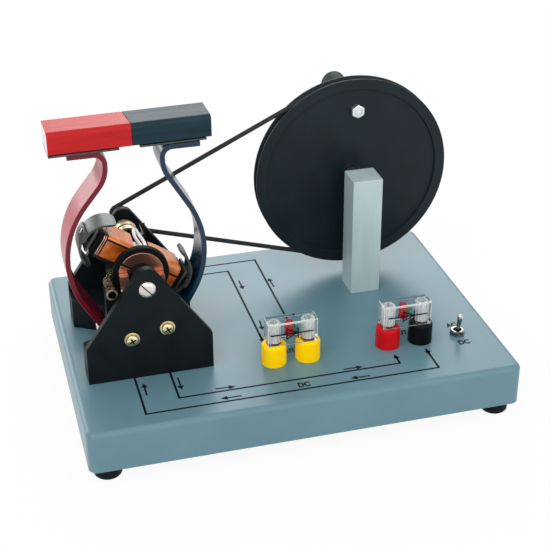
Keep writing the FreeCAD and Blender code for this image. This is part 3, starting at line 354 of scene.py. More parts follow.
# patch is a size in millimetres, and grain a size and how far it stands up
finishes = {
    # sheet steel with a satin sprayed paint: even blue-grey with a soft sheen and slight orange peel
    "satinPaint": {"tones": ("#5f838f", "#668b97"), "patch": 60, "rough": (0.3, 0.36),
                   "grain": (1.4, 0.012), "specular": 0.4},
    # anodised aluminium bar: pale grey-blue, matte
    "paleBar": {"tones": ("#b6c9cb", "#bed1d3"), "patch": 9, "rough": (0.32, 0.4),
                "grain": (0.5, 0.006), "stretch": (1, 1, 0.15), "metallic": 0.1},
    # black phenolic sheet: near black with a blue cast, matte
    "blackSheet": {"tones": ("#0b1215", "#10191d"), "patch": 14, "rough": (0.42, 0.52),
                   "grain": (0.9, 0.012), "specular": 0.14},
    # moulded ABS of the wheel: satin black
    "wheelPlastic": {"tones": ("#131d23", "#19252c"), "patch": 22, "rough": (0.36, 0.46),
                     "grain": (1.0, 0.012), "specular": 0.2},
    # turned plastic of the grip: dark grey, dull
    "gripPlastic": {"tones": ("#20282a", "#2a3234"), "patch": 6, "rough": (0.5, 0.62),
                    "grain": (0.8, 0.02), "specular": 0.1},
    # rubber of the round belt: grey-black, matte, with no gloss at its edge
    "beltRubber": {"tones": ("#313435", "#3c3f40"), "patch": 4, "rough": (0.8, 0.9),
                   "grain": (0.6, 0.02), "specular": 0.02},
    # rubber of the feet: dull black
    "dullRubber": {"tones": ("#0c1113", "#14191b"), "patch": 5, "rough": (0.55, 0.7),
                   "grain": (0.7, 0.03), "specular": 0.1},
    # enamel on bent steel: deep crimson that mirrors the bright room at a low angle
    "crimsonEnamel": {"tones": ("#651322", "#6e1727"), "patch": 16, "rough": (0.2, 0.28),
                      "grain": (0.9, 0.02), "specular": 0.3},
    # the same enamel where its faces look to the left, with a painted reflection of the bright room in its
    # colour: dusty pink
    "paintedSheenCrimson": {"tones": ("#a8404a", "#b54c55"), "patch": 16, "rough": (0.24, 0.32),
                    "grain": (0.9, 0.02), "specular": 0.25},
    # enamel on the other strip: navy, glossy, with a brushed-on unevenness that breaks its reflections
    "navyEnamel": {"tones": ("#0a2840", "#0f3148"), "patch": 16, "rough": (0.18, 0.26),
                   "grain": (1.1, 0.09), "specular": 0.4},
    # thick paint on the cast bar magnet: red and blue-black, with faint streaks along the bar
    "magnetRed": {"tones": ("#b00a11", "#c4171a"), "patch": 4.5, "rough": (0.34, 0.42),
                  "grain": (2.2, 0.1), "stretch": (0.08, 1, 1), "specular": 0.26},
    "magnetBlue": {"tones": ("#0c252e", "#16343f"), "patch": 4.5, "rough": (0.36, 0.44),
                   "grain": (2.2, 0.12), "stretch": (0.08, 1, 1), "specular": 0.2},
    # polyester tape round the winding: glossy, in two tones of orange, uneven where the turns show through
    "windingTape": {"tones": ("#98420d", "#cb6a22"), "patch": 7, "rough": (0.16, 0.24),
                    "grain": (1.6, 0.03), "specular": 0.6, "coat": 0.12},
    # the tape's upper side, with a painted highlight: pale orange
    "litTopTape": {"tones": ("#e27c3c", "#ee945a"), "patch": 5, "rough": (0.2, 0.3),
                  "grain": (1.6, 0.03)},
    # painted shade in the gap under the tape's free end: a dark line
    "seamShade": {"tones": ("#140a05", "#1c0f08"), "patch": 2, "rough": (0.5, 0.6),
                 "grain": (0.5, 0.01), "specular": 0.15},
    # insulating tape next to the pole: black with a slight shine, also laid on the coils' undersides as
    # painted shade
    "blackTapeAndShade": {"tones": ("#101214", "#1a1d20"), "patch": 3, "rough": (0.3, 0.4),
                  "grain": (0.6, 0.02), "specular": 0.3},
    # bare copper, rubbed by the brushes: pinkish metal with soft reflections
    "rubbedCopper": {"tones": ("#cd937c", "#b87c66"), "patch": 6, "rough": (0.26, 0.34),
                     "grain": (0.6, 0.006), "metallic": 0.95},
    # copper leaf of the brushes, kept bright by the turning segments
    "brightCopper": {"tones": ("#e0aa94", "#cf9480"), "patch": 4, "rough": (0.24, 0.34),
                     "grain": (0.5, 0.006), "metallic": 0.8},
    # turned brass: pale yellow metal, a little dull
    "turnedBrass": {"tones": ("#dcd3b6", "#c2b48c"), "patch": 4, "rough": (0.3, 0.42),
                    "grain": (0.5, 0.02), "metallic": 0.85},
    # tarnished brass: brown metal with dark blotches
    "dullBrass": {"tones": ("#9e8a78", "#4a4036"), "patch": 1.6, "rough": (0.2, 0.4),
                  "grain": (0.5, 0.03), "metallic": 0.95},
    # zinc plate with yellow passivation: warm silver with a mottled straw tint
    "yellowZinc": {"tones": ("#ded8b8", "#cdbf86"), "patch": 2.5, "rough": (0.18, 0.3),
                   "grain": (0.5, 0.008), "metallic": 1.0},
    # zinc plate with clear passivation: cold bright silver
    "brightZinc": {"tones": ("#e6f0f1", "#d3dddf"), "patch": 2.5, "rough": (0.2, 0.3),
                   "grain": (0.5, 0.008), "metallic": 0.9},
    # nickel plate: ivory silver
    "nickelPlate": {"tones": ("#e2e0d8", "#d4d2ca"), "patch": 3, "rough": (0.22, 0.32),
                    "grain": (0.5, 0.006), "metallic": 1.0},
    # chrome plate of the switch: darker than nickel, with hard reflections
    "darkChrome": {"tones": ("#a3a3a0", "#7b7c79"), "patch": 2, "rough": (0.1, 0.2),
                   "grain": (0.5, 0.006), "metallic": 1.0},
    # machined steel: mid grey metal with soft reflections
    "machinedSteel": {"tones": ("#a9abac", "#8f9293"), "patch": 3, "rough": (0.25, 0.4),
                      "grain": (0.5, 0.008), "metallic": 1.0},
    # blackened spring steel: dark grey with a dull sheen
    "blackenedSteel": {"tones": ("#454947", "#545856"), "patch": 6, "rough": (0.3, 0.42),
                       "grain": (0.7, 0.01), "metallic": 0.65},
    # unpainted end of the cast magnet: bare metal, finely pitted, with a painted reflection of the bright
    # room that makes it pale
    "bareAlloyAndReflection": {"tones": ("#e6dadb", "#f0e8e8"), "patch": 4, "rough": (0.4, 0.55),
                  "grain": (0.6, 0.02), "metallic": 0.1},
    # nylon of the bobbins, hubs and discs: black, nearly matte
    "blackNylon": {"tones": ("#080a0c", "#0e1113"), "patch": 5, "rough": (0.55, 0.7),
                   "grain": (0.8, 0.01), "specular": 0.1},
    # moulded nylon of the socket caps: strong even colours with a soft shine; the yellow is made the
    # brightest by a painted glow
    "yellowCap": {"tones": ("#ffcb00", "#ffd308"), "patch": 8, "rough": (0.3, 0.36),
                  "grain": (1.2, 0.008), "specular": 0.1, "glow": 0.16},
    "redCap": {"tones": ("#c90c16", "#d2131c"), "patch": 8, "rough": (0.3, 0.36),
               "grain": (1.2, 0.008), "specular": 0.15},
    "blackCap": {"tones": ("#080c0e", "#0c1113"), "patch": 8, "rough": (0.28, 0.34),
                 "grain": (1.2, 0.008), "specular": 0.12},
    # cast acrylic of the plug boxes: clear, seen by its outline more than by its faces
    "clearAcrylic": {"tones": ("#f4fafa", "#ffffff"), "patch": 30, "rough": (0.01, 0.03),
                     "grain": (2.5, 0.002), "clear": 1.0, "ior": 1.22},
    # rounded edge of the acrylic, where light gathers: a white line
    "litEdge": {"tones": ("#f2f2ee", "#ffffff"), "patch": 6, "rough": (0.1, 0.2),
                "grain": (1, 0.003), "clear": 0.32, "ior": 1.2},
    # frosted acrylic of the columns: milky, with streaks drawn upwards
    "frostedAcrylic": {"tones": ("#f4f7f7", "#ffffff"), "patch": 1.2, "rough": (0.15, 0.4),
                       "grain": (0.6, 0.035), "stretch": (1, 1, 0.08), "clear": 0.42, "ior": 1.2},
    # painted shade on the foot of a column, standing for the dark inside of the socket
    "shadedFoot": {"tones": ("#5a3a1c", "#33261a"), "patch": 2, "rough": (0.3, 0.4),
                   "grain": (0.6, 0.01), "specular": 0.2},
    # epoxy of the lamps: deep red and bluish green, half clear, shiny; the red has a faint painted glow
    "redResin": {"tones": ("#ae0a1e", "#c01428"), "patch": 3, "rough": (0.15, 0.25),
                 "grain": (1, 0.003), "clear": 0.15, "ior": 1.5, "glow": 0.06},
    "greenResin": {"tones": ("#1f9a72", "#35b58c"), "patch": 3, "rough": (0.15, 0.25),
                   "grain": (1, 0.003), "clear": 0.35, "ior": 1.5},
    # soft sleeve of the leads: plain white, slightly shiny
    "whiteSleeve": {"tones": ("#fbfaf8", "#f2f1ee"), "patch": 3, "rough": (0.35, 0.45),
                    "grain": (0.6, 0.006)},
    # screen-printed ink: flat blue-black
    "printInk": {"tones": ("#0c161b", "#121d22"), "patch": 3, "rough": (0.5, 0.6),
                 "grain": (0.5, 0.002), "specular": 0.08},
    # bottom of a screw's recess, where no light gets in
    "deepRecess": {"tones": ("#0d0c0a", "#1a1815"), "patch": 1, "rough": (0.5, 0.6),
                   "grain": (0.4, 0.004), "specular": 0.1},
}
finish = {name: makeFinish(name, look) for name, look in finishes.items()}
print("finishes made:", len(finish))

nodesIn = {
    "satinPaint": ["base_tray"],
    "blackSheet": ["bottom_cover", "front_bearing_plate", "rear_bearing_plate", "pole_block",
                   "terminal_post"],
    "dullRubber": ["rubber_feet"],
    "yellowZinc": ["foot_screws", "block_screws", "brush_screws", "brush_washers", "brush_nuts",
                   "post_screw"],
    "nickelPlate": ["pivot_screw", "strip_screws", "pole_screws", "socket_nuts", "left_led_pins",
                    "right_led_pins"],
    "turnedBrass": ["rear_bush", "slip_rings", "terminal_sleeve", "socket_contacts"],
    "navyEnamel": ["blue_pole_strip"], "crimsonEnamel": ["red_pole_strip"],
    "magnetRed": ["magnet_red_half"], "magnetBlue": ["magnet_blue_half"],
    "blackenedSteel": ["magnet_plates", "end_caps", "pole_shoes", "ac_brushes"],
    "machinedSteel": ["armature_shaft", "armature_core", "axle", "axle_spacer"],
    "blackNylon": ["bobbins", "commutator_disc", "slip_ring_hub", "small_pulley"],
    "windingTape": ["coils"], "rubbedCopper": ["commutator_segments"], "whiteSleeve": ["armature_leads"],
    "brightCopper": ["dc_brushes"], "paleBar": ["support_post"], "wheelPlastic": ["wheel"],
    "brightZinc": ["crank_bolt", "crank_nut"], "gripPlastic": ["crank_grip"],
    "beltRubber": ["drive_belt"], "yellowCap": ["yellow_sockets"], "redCap": ["red_socket"],
    "blackCap": ["black_socket"], "clearAcrylic": ["left_led_block", "right_led_block"],
    "redResin": ["left_leds", "right_leds"], "darkChrome": ["toggle_body", "toggle_nut", "toggle_lever"],
}
finishOf = {name: kind for kind, names in nodesIn.items() for name in names}
for name, kind in finishOf.items():
    giveSlots(nodes[name], [kind])
print("carried nodes dressed:", len(finishOf))


# edges of cast, sawn and bent pieces are never sharp, so a copy with rounded edges stands for each solid,
# by the width of its edges in millimetres and their segments
softened = {
    "front_bearing_plate": (0.45, 2), "rear_bearing_plate": (0.45, 2), "pole_block": (0.5, 2),
    "support_post": (0.5, 3), "blue_pole_strip": (0.4, 2),
    "magnet_plates": (0.15, 2), "wheel": (0.35, 2), "crank_grip": (0.4, 3), "rubber_feet": (0.5, 3),
    "yellow_sockets": (0.25, 3), "red_socket": (0.25, 3), "black_socket": (0.25, 3),
    "socket_contacts": (0.2, 2), "bobbins": (0.3, 2), "end_caps": (0.3, 2), "armature_core": (0.3, 2),
    "commutator_disc": (0.35, 3), "slip_ring_hub": (0.25, 2), "slip_rings": (0.2, 2),
    "small_pulley": (0.25, 2), "rear_bush": (0.25, 2), "axle": (0.3, 2), "axle_spacer": (0.3, 2),
    "terminal_post": (0.4, 2), "left_led_pins": (0.4, 2), "right_led_pins": (0.4, 2),
    "brush_washers": (0.12, 2), "dc_brushes": (0.12, 2), "ac_brushes": (0.12, 2),
    "toggle_body": (0.25, 2), "crank_bolt": (0.3, 2), "bottom_cover": (0.3, 2),
}
for name, edge in softened.items():
    piece = copyOf(name)
    soften(piece, *edge)
    finishPiece(piece, name + "_soft", [finishOf[name]], name)
print("softened pieces:", len(softened))


# the red strip's faces that look this far to the left get a paler crimson, a painted reflection of the
# bright room
redStripSettings = {"edge": (0.4, 2), "outer": -0.3}


def redStrip(settings):
    strip = copyOf("red_pole_strip")
    kinds = ["crimsonEnamel", "paintedSheenCrimson"]
    giveSlots(strip, kinds)
    soften(strip, *settings["edge"])
    # painted reflection: faces that look to the left take the paler crimson
    bandFaces(strip, 1, lambda centre, normal: normal.x < settings["outer"])
    finishPiece(strip, "red_pole_strip_soft", kinds, "red_pole_strip")


redStrip(redStripSettings)
print("red strip made")


# a head is (radius, height, recess, shank, reach), and its recess (length, width, depth, turns);
# a hole in the bearing plates is (to the right of the shaft, above the plate's foot)
screwSettings = {
    "brush": (3.3, 2.2, (3.8, 0.9, 1.4, (25, 115)), 1.5, 8.5), "washer": 0.72,
    "pivot": (4.7, 2.6, (10.5, 0.65, 1.1, (0,)), 3, 5.9), "pivotBore": (2.06, 4.2, -6.2), "pivotTurn": -49,
    "holes": [(-9.5, 24.5), (9.5, 28.6)], "shaftHeight": 53.3, "plateFace": 38.2,
}


def panHead(radius, height, recess, shank, reach):
    # low domed head that faces up from z = 0 on a plain shank, with a cross or a slot cut in
    dome = [(1, 0.4), (0.93, 0.68), (0.76, 0.9), (0.5, 1)]  # as shares of the radius and the height
    head = addLathe([(0, -reach), (shank, -reach), (shank, 0), (radius, 0),
                     *((radius * out, height * up) for out, up in dome), (0, height)])
    long, wide, deep, turns = recess
    floor, near = height - deep, 0.05
    for turn in turns:
        cutter = addBlock((-long / 2, -wide / 2, floor), (long / 2, wide / 2, height + 1))
        cutter.rotation_euler.z = math.radians(turn)
        carve(head, settle(cutter))
    giveSlots(head, ["yellowZinc", "deepRecess"])
    bandFaces(head, 1, lambda centre, normal: 0 < centre.z < height and centre.xy.length < long / 2
              and (abs(centre.z - floor) < near or (abs(normal.z) < near and centre.z > floor)))
    return head


def plateSpots(settings, out):
    # a spot at each hole of both bearing plates, out from the plate's outer face
    for across, up in settings["holes"]:
        for side in (-1, 1):
            yield side, (motor.x / mm + across, motor.y / mm + side * settings["plateFace"] + side * out,
                         motor.z / mm + (up - settings["shaftHeight"]))


def brushScrews(settings):
    heads = [lay(panHead(*settings["brush"]), spot, "Y" if side > 0 else "-Y")
             for side, spot in plateSpots(settings, settings["washer"])]
    finishPiece(join(heads), "brush_screw_heads", ["yellowZinc", "deepRecess"], "brush_screws")


def pivotScrew(settings):
    head = panHead(*settings["pivot"])
    carve(head, addRod(*settings["pivotBore"]))
    head.rotation_euler.z = math.radians(settings["pivotTurn"])
    lay(settle(head), (motor.x / mm, motor.y / mm - settings["plateFace"], motor.z / mm), "-Y")
    finishPiece(head, "pivot_screw_slotted", ["nickelPlate", "deepRecess"], "pivot_screw")


brushScrews(screwSettings)
pivotScrew(screwSettings)
print("screws made")


# a nut is (width across its flats, height, bore radius), and out is from the bearing plate's outer face
nutSettings = {"brush": (5.5, 2.4, 1.56), "out": -4.62, "crank": (7, 3.2, 2.06),
               "edgeDown": 0.9, "edgeIn": 1.1}


def cornerOf(across):
    # radius to a hexagon's corners
    return across / 2 / math.cos(math.radians(30))


def addNut(settings, kind, place, way):
    # hexagon whose corners are turned down on the outer face, by a cutter that is a little larger
    across, height, bore = settings[kind]
    corner, top = cornerOf(across), height + 0.001
    nut = addRod(corner, height, sides=6)
    turned = [(bore, -1), (corner + 1, -1), (corner + 1, height - settings["edgeDown"]),
              (corner - settings["edgeIn"], top), (bore, top)]
    carve(nut, addLathe(turned, sides=64), "INTERSECT")
    return lay(nut, place, way)


def nuts(settings):
    made = [addNut(settings, "brush", spot, "-Y" if side > 0 else "Y")
            for side, spot in plateSpots(screwSettings, settings["out"])]
    finishPiece(join(made), "brush_nuts_turned", ["yellowZinc"], "brush_nuts")
    low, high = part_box("crank_nut")
    middle = (low + high) / 2 / mm
    nut = addNut(settings, "crank", (middle.x, high.y / mm, middle.z), "-Y")
    finishPiece(nut, "crank_nut_turned", ["brightZinc"], "crank_nut")


# the switch is held by a nut and a thinner counter nut, each (rise, width across its flats, height),
# and its lever has a polished tip
toggleSettings = {"nuts": [(0, 7.9, 1.35), (1.65, 7.5, 1.25)], "turn": 30, "bore": 3.06, "footIn": 0.5,
                  "sideOut": 0.1, "side": 0.35, "topIn": 0.7, "leverEdge": (0.3, 3), "tip": 2.4}


def toggleSwitch(settings):
    low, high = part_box("toggle_nut")
    middle = (low + high) / 2 / mm
    bore, side = settings["bore"], settings["side"]
    made = []
    for rise, across, height in settings["nuts"]:
        corner = cornerOf(across)
        past = corner + settings["sideOut"]
        nut = addRod(corner, height, sides=6)
        nut.rotation_euler.z = math.radians(settings["turn"])
        turned = [(bore, 0), (corner - settings["footIn"], 0), (past, side), (past, height - side),
                  (corner - settings["topIn"], height), (bore, height)]
        carve(settle(nut), addLathe(turned, sides=64), "INTERSECT")
        made.append(lay(nut, (middle.x, middle.y, low.z / mm + rise)))
    finishPiece(join(made), "toggle_nuts", ["darkChrome"], "toggle_nut", smooth=25)

    lever = copyOf("toggle_lever")
    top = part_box("toggle_lever")[1].z / mm - settings["tip"]
    kinds = ["darkChrome", "nickelPlate"]
    sliceMesh(lever, "Z", top)
    giveSlots(lever, kinds)
    soften(lever, *settings["leverEdge"])
    bandFaces(lever, 1, lambda centre, normal: centre.z > top)
    finishPiece(lever, "toggle_lever_polished", kinds, "toggle_lever")


nuts(nutSettings)
toggleSwitch(toggleSettings)
print("nuts and switch made")


# bar magnet: its long edges are well rounded, and the red half's end face is left bare of paint
magnetSettings = {"long": 20, "sharp": 0.6, "corner": (1.3, 4), "foot": 0.1, "lean": 0.55,
                  "edge": (0.35, 3), "bareEnd": -0.98}


def magnetHalf(settings, node, paint, side):
    half = copyOf(node)
    bevelEdges(half, *settings["corner"], lambda edge: runsAlong(edge, 0, settings["long"])
               and len(edge.link_faces) == 2 and edge.calc_face_angle(0) > settings["sharp"])
    # below half height the sides lean in slightly, which leaves a faint line along them
    low, high = (corner.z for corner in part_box(node))
    sliceMesh(half, "Z", (low + high) / 2 / mm)
    for vertex in half.data.vertices:
        if vertex.co.z < low + settings["foot"] * mm:
            vertex.co.y += settings["lean"] * mm * (1 if vertex.co.y < motor.y else -1)
    kinds = [paint, "bareAlloyAndReflection"]
    giveSlots(half, kinds)
    soften(half, *settings["edge"])
    # the red half's end face is bare metal, with a painted reflection in its pale colour
    bandFaces(half, 1, lambda centre, normal: side < 0 and normal.x < settings["bareEnd"])
    finishPiece(half, node + "_soft", kinds, node)


magnetHalf(magnetSettings, "magnet_red_half", "magnetRed", -1)
magnetHalf(magnetSettings, "magnet_blue_half", "magnetBlue", 1)
print("magnet made")


# the winding: full oblong coils in glossy tape, drawn to the right in the armature's own frame;
# cuts are where the mesh is divided, those along the coil as shares of its length
coilSettings = {
    "start": 5.46, "end": 24.34, "wide": 21, "high": 15.4, "corner": (3.0, 6), "endRound": (1.8, 4),
    "long": 5, "crown": 0.35,
    "cutsAlong": (0.12, 0.3, 0.5, 0.7, 0.88), "cutsAcross": (-6, -3, 0, 3, 6), "cutsUp": (-3, 0, 3),
    "seam": 1.1, "seamRise": {1: 1.6, -1: 5.0}, "seamStart": 0.2, "litTop": 0.6, "shadedBelow": -4.6,
    "collar": 21.4, "bare": ((22.3, 22.7), (23.2, 23.6)),
}
coilKinds = ["windingTape", "seamShade", "blackTapeAndShade", "rubbedCopper", "litTopTape"]


def coil(settings, side):
    start, end, crown = settings["start"], settings["end"], settings["crown"]
    wide, high = settings["wide"] / 2 - crown, settings["high"] / 2 - crown
    body = addBlock((start, -wide, -high), (end, wide, high))
    bevelEdges(body, *settings["corner"], lambda edge: runsAlong(edge, 0, settings["long"]))
    bevelEdges(body, *settings["endRound"],
               lambda edge: min(vert.co.x for vert in edge.verts) > (end - 0.01) * mm)
    sliceMesh(body, "X", *(start + share * (end - start) for share in settings["cutsAlong"]))
    sliceMesh(body, "Y", *settings["cutsAcross"])
    sliceMesh(body, "Z", *settings["cutsUp"])
    # the turns bulge a little between the bobbin's walls
    for vertex in body.data.vertices:
        along = (vertex.co.x / mm - start) / (end - start)
        swell = crown * mm * max(0.0, math.sin(math.pi * min(1, max(0, along)))) ** 0.5
        around = Vector((0, vertex.co.y / wide, vertex.co.z / high))
        if around.length > 0:
            vertex.co += around.normalized() * swell
    # painted shade under the tape's free end: a dark line along the coil
    seamLow = settings["seamRise"][side]
    seamHigh = seamLow + settings["seam"]
    giveSlots(body, coilKinds)
    # painted highlight: faces that look up take the pale orange
    bandFaces(body, 4, lambda centre, normal: normal.z > settings["litTop"])
    sliceMesh(body, "Z", seamLow, seamHigh)
    bandFaces(body, 1, lambda centre, normal: seamLow < centre.z < seamHigh and normal.y < -0.2
              and centre.x > start + settings["seamStart"])
    if side < 0:
        # collar of black tape with two bands of bare wire next to the pole
        collar, bare = settings["collar"], settings["bare"]
        sliceMesh(body, "X", collar, *(edge for band in bare for edge in band))
        bandFaces(body, 2, lambda centre, normal: collar < centre.x)
        bandFaces(body, 3, lambda centre, normal: any(inner < centre.x < outer for inner, outer in bare))
    # painted shade: the coil's underside, below this height, takes the black tape
    sliceMesh(body, "Z", settings["shadedBelow"])
    bandFaces(body, 2, lambda centre, normal: centre.z < settings["shadedBelow"])
    return body


def coils(settings):
    right, left = coil(settings, 1), coil(settings, -1)
    for vertex in left.data.vertices:
        vertex.co.x = -vertex.co.x
    startEdit(left, "FACE", "SELECT")
    bpy.ops.mesh.normals_make_consistent(inside=False)
    endEdit()
    finishPiece(join([right, left]), "taped_coils", coilKinds, "coils", seat=armatureSeat, smooth=40)


coils(coilSettings)
print("coils made")


# pole shoes: spring leaves bent round a centre on each side of the shaft, whose free ends are cut round.
# keep is the rounded part of a free end, and cut the box that is cleared around it
poleSettings = {"centre": 18, "radius": 14.4, "ends": (83, -83), "keep": ((-12, -7.5, -4), (0, 7.5, 4)),
                "cut": ((-5.2, -9, -2.5), (3, 9, 2.5)), "round": (4.8, 10), "edge": (0.25, 2)}


def poleShoes(settings):
    shoes = copyOf("pole_shoes")
    shoes.matrix_world = armatureSeat.inverted()
    settle(shoes)
    for side in (-1, 1):
        for turn in settings["ends"]:
            keep = addBlock(*settings["keep"])
            bevelEdges(keep, *settings["round"], lambda edge: runsAlong(edge, 2, 5)
                       and all(vert.co.x > -1 * mm for vert in edge.verts))
            cutter = addBlock(*settings["cut"])
            carve(cutter, keep)
            # drawn along X, and turned to run on with the leaf at its end
            ahead, radius = math.radians(turn), settings["radius"]
            place = Vector((settings["centre"] + radius * math.cos(ahead), 0, radius * math.sin(ahead)))
            lean = math.radians(-turn - math.copysign(90, turn))
            spot = Matrix.Translation(place * mm) @ Matrix.Rotation(lean, 4, "Y")
            cutter.matrix_world = (Matrix.Rotation(math.pi, 4, "Y") if side < 0 else Matrix()) @ spot
            carve(shoes, settle(cutter))
    soften(shoes, *settings["edge"])
    finishPiece(shoes, "pole_shoes_round", ["blackenedSteel"], "pole_shoes", seat=armatureSeat)


poleShoes(poleSettings)
print("pole shoes made")


# a pole's screw sits on its end, less the leaf's thickness, and stands out by a hair
commutatorSettings = {"edge": (0.3, 3), "screw": (2.3, 1.1, (6, 0.6, 0.6, (90,)), 1.25, 6),
                      "screwSeat": 33 - 1.2 + 0.06}


def commutator(settings):
    segments = copyOf("commutator_segments")
    soften(segments, *settings["edge"])
    finishPiece(segments, "commutator_copper", ["rubbedCopper"], "commutator_segments")
    screws = [lay(panHead(*settings["screw"]), (side * settings["screwSeat"], 0, 0), way)
              for side, way in ((-1, "-X"), (1, "X"))]
    finishPiece(join(screws), "pole_screws_slotted", ["nickelPlate", "deepRecess"], "pole_screws",
                seat=armatureSeat)


# sleeved wires from the slip rings to the commutator, looping over the core
leadSettings = {
    "radius": 0.95,
    "upper": [(1.4, -17.4, 6.3), (1.6, -10, 7.4), (2.1, -2, 8.2), (1.6, 4, 8.2), (0.9, 10, 7.6),
              (1.2, 15, 6.8), (1.4, 20.3, 6.3)],
    "loop": [(1.4, 20.3, 6.3), (-0.8, 18, 7.0), (-2.4, 14, 7.8), (-2.6, 9, 7.3), (-1.8, 4, 6.6),
             (0.6, 0, 6.6), (1.4, -5, 6.2)],
    "lower": [(-1.4, -17.4, -6.3), (-1.2, -12, -7.4), (-2.2, -4, -8.6), (0.4, 6, -8.2), (-1.4, 20.3, -6.3)],
}


def leads(settings):
    wires = [addWire(settings[name], settings["radius"]) for name in ("upper", "loop", "lower")]
    finishPiece(join(wires), "sleeved_leads", ["whiteSleeve"], "armature_leads", seat=armatureSeat,
                smooth=60)


commutator(commutatorSettings)
leads(leadSettings)
print("commutator and leads made")


# turned brass tube with ring grooves and a window on its side, placed from the motor's middle;
# its outline is (radius, distance from the front end), and a groove's starts at the groove
sleeveSettings = {
    "place": (-17.6, -34, -3.4),
    "collar": [(2.1, 0), (2.9, 0), (3.15, 0.3), (3.15, 1.3), (2.9, 1.6), (2.5, 1.7)],
    "grooves": (2.6, 4.0, 7.4, 9.0, 10.6, 12.2, 13.8),
    "groove": [(2.5, 0), (2.1, 0.15), (2.1, 0.65), (2.5, 0.8)],
    "end": [(2.5, 16), (1.6, 16), (1.6, 8), (2.1, 7.8)],
    "window": ((-19, -29, -3.2), (-16.4, -26.9, 2)), "inside": 2.15, "mouth": 0.2,
}


def terminalSleeve(settings):
    x, y, z = settings["place"]
    outline = list(settings["collar"])
    for start in settings["grooves"]:
        outline += [(radius, start + along) for radius, along in settings["groove"]]
    sleeve = addLathe(outline + settings["end"], settings["place"], "Y", sides=40)
    carve(sleeve, addBlock(*settings["window"]))
    kinds = ["dullBrass", "deepRecess"]
    giveSlots(sleeve, kinds)
    # the bore is dark, from just behind its mouth
    bandFaces(sleeve, 1, lambda centre, normal: math.hypot(centre.x - x, centre.z - z) < settings["inside"]
              and centre.y > y + settings["mouth"] and abs(normal.y) < 0.3
              and normal.x * (centre.x - x) + normal.z * (centre.z - z) < 0)
    finishPiece(sleeve, "terminal_sleeve_turned", kinds, "terminal_sleeve", seat=Matrix.Translation(motor))


terminalSleeve(sleeveSettings)
print("terminal sleeve made")


# plug boxes: thin clear shells, open below, with frosted columns round the pins, two lamps and a printed
# diode sign. A column's outline is (radius, height), and a lamp's place is from the box's middle and foot
plugSettings = {
    "wall": 1.3, "edge": (0.38, 3), "innerEdge": (0.3, 2), "litBelow": 0.97,
    "pitch": 19, "column": [(2.05, 0.3), (3.7, 0.3), (3.7, 1.2), (3.7, 11.6), (3.2, 12.2), (2.05, 12.2)],
    "shaded": 1,
    "red": {"place": (-1.0, 0.4, 4.1), "radius": 2.5, "tall": 8.2},
    "green": {"place": (2.9, 1.2, 5.0), "radius": 1.5, "tall": 5},
}
# the sign's line, base, bar and two slopes, from its middle: each half width goes up and down from the line
signSettings = {
    "left": {"line": (-12.6, 11.4), "shift": 0}, "right": {"line": (-11.4, 11.4), "shift": 0.9},
    "rise": 6.9, "off": 0.02, "ink": 0.04, "lineHalf": 0.4, "bar": (2.3, 3.1, 3.2),
    "base": (-3.9, -3.2, 3.3), "slope": (6, 3), "slopeHalf": 0.35, "slopeStart": -3.5,
}


def plugShell(name, low, high, settings):
    wall = settings["wall"]
    shell = addBlock(low, high)
    soften(shell, *settings["edge"])
    room = addBlock((low.x + wall, low.y + wall, low.z - 1), (high.x - wall, high.y - wall, high.z - wall))
    soften(room, *settings["innerEdge"])
    carve(shell, room)
    kinds = ["clearAcrylic", "litEdge"]
    giveSlots(shell, kinds)
    bandFaces(shell, 1, lambda centre, normal: max(abs(part) for part in normal) < settings["litBelow"])
    finishPiece(shell, name + "_plug_shell", kinds, name + "_led_block")


def pinColumns(name, foot, settings):
    kinds = ["frostedAcrylic", "shadedFoot"]
    columns = []
    for side in (-0.5, 0.5):
        place = (foot[0] + side * settings["pitch"], foot[1], foot[2])
        column = addLathe(settings["column"], place, sides=40)
        giveSlots(column, kinds)
        # painted shade: the lowest part of each column takes the dark brown
        bandFaces(column, 1, lambda centre, normal: centre.z < foot[2] + settings["shaded"])
        columns.append(column)
    finishPiece(join(columns), name + "_pin_columns", kinds, body=name + "_plug")


def addLamp(foot, settings):
    # resin dome on a rim that is a sixth wider
    radius, tall = settings["radius"], settings["tall"]
    dome = [(0, 0), (radius * 1.16, 0), (radius * 1.16, 0.9), (radius, 1.0), (radius, tall - radius)]
    for turn in (20, 40, 60, 78):
        lean = math.radians(turn)
        dome.append((radius * math.cos(lean), tall - radius + radius * math.sin(lean)))
    place = [at + step for at, step in zip(foot, settings["place"])]
    return addLathe(dome + [(0, tall)], place, sides=32)


def lamps(name, foot, settings):
    kinds = ["redResin", "greenResin"]
    red, green = (addLamp(foot, settings[shade]) for shade in ("red", "green"))
    for bulb in (red, green):
        giveSlots(bulb, kinds)
    bandFaces(green, 1, lambda centre, normal: True)
    finishPiece(join([red, green]), name + "_lamps", kinds, name + "_leds")


def diodeSign(name, middle, face, foot, settings):
    front, rise = face - settings["off"], foot + settings["rise"]
    back = front - settings["ink"]

    def upright(start, end, half):
        return addBlock((middle + start, back, rise - half), (middle + end, front, rise + half))

    marks = [upright(*settings[name]["line"], settings["lineHalf"])]
    middle += settings[name]["shift"]
    marks.append(upright(*settings["bar"]))
    long, tall = settings["slope"]
    half = settings["slopeHalf"]
    for way in (-1, 1):
        slope = addBlock((0, back, -half), (math.hypot(long, tall), front, half))
        slope.rotation_euler.y = way * math.atan2(tall, long)
        slope.location = (middle + settings["slopeStart"]) * mm, 0, (rise + way * tall) * mm
        marks.append(settle(slope))
    marks.append(upright(*settings["base"]))
    finishPiece(join(marks), name + "_diode_sign", ["printInk"], body=name + "_plug")


def ledPlug(name):
    low, high = (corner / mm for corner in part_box(name + "_led_block"))
    foot = ((low.x + high.x) / 2, (low.y + high.y) / 2, low.z)
    plugShell(name, low, high, plugSettings)
    pinColumns(name, foot, plugSettings)
    lamps(name, foot, plugSettings)
    diodeSign(name, foot[0], low.y, low.z, signSettings)


ledPlug("left")
ledPlug("right")
print("plug boxes made")


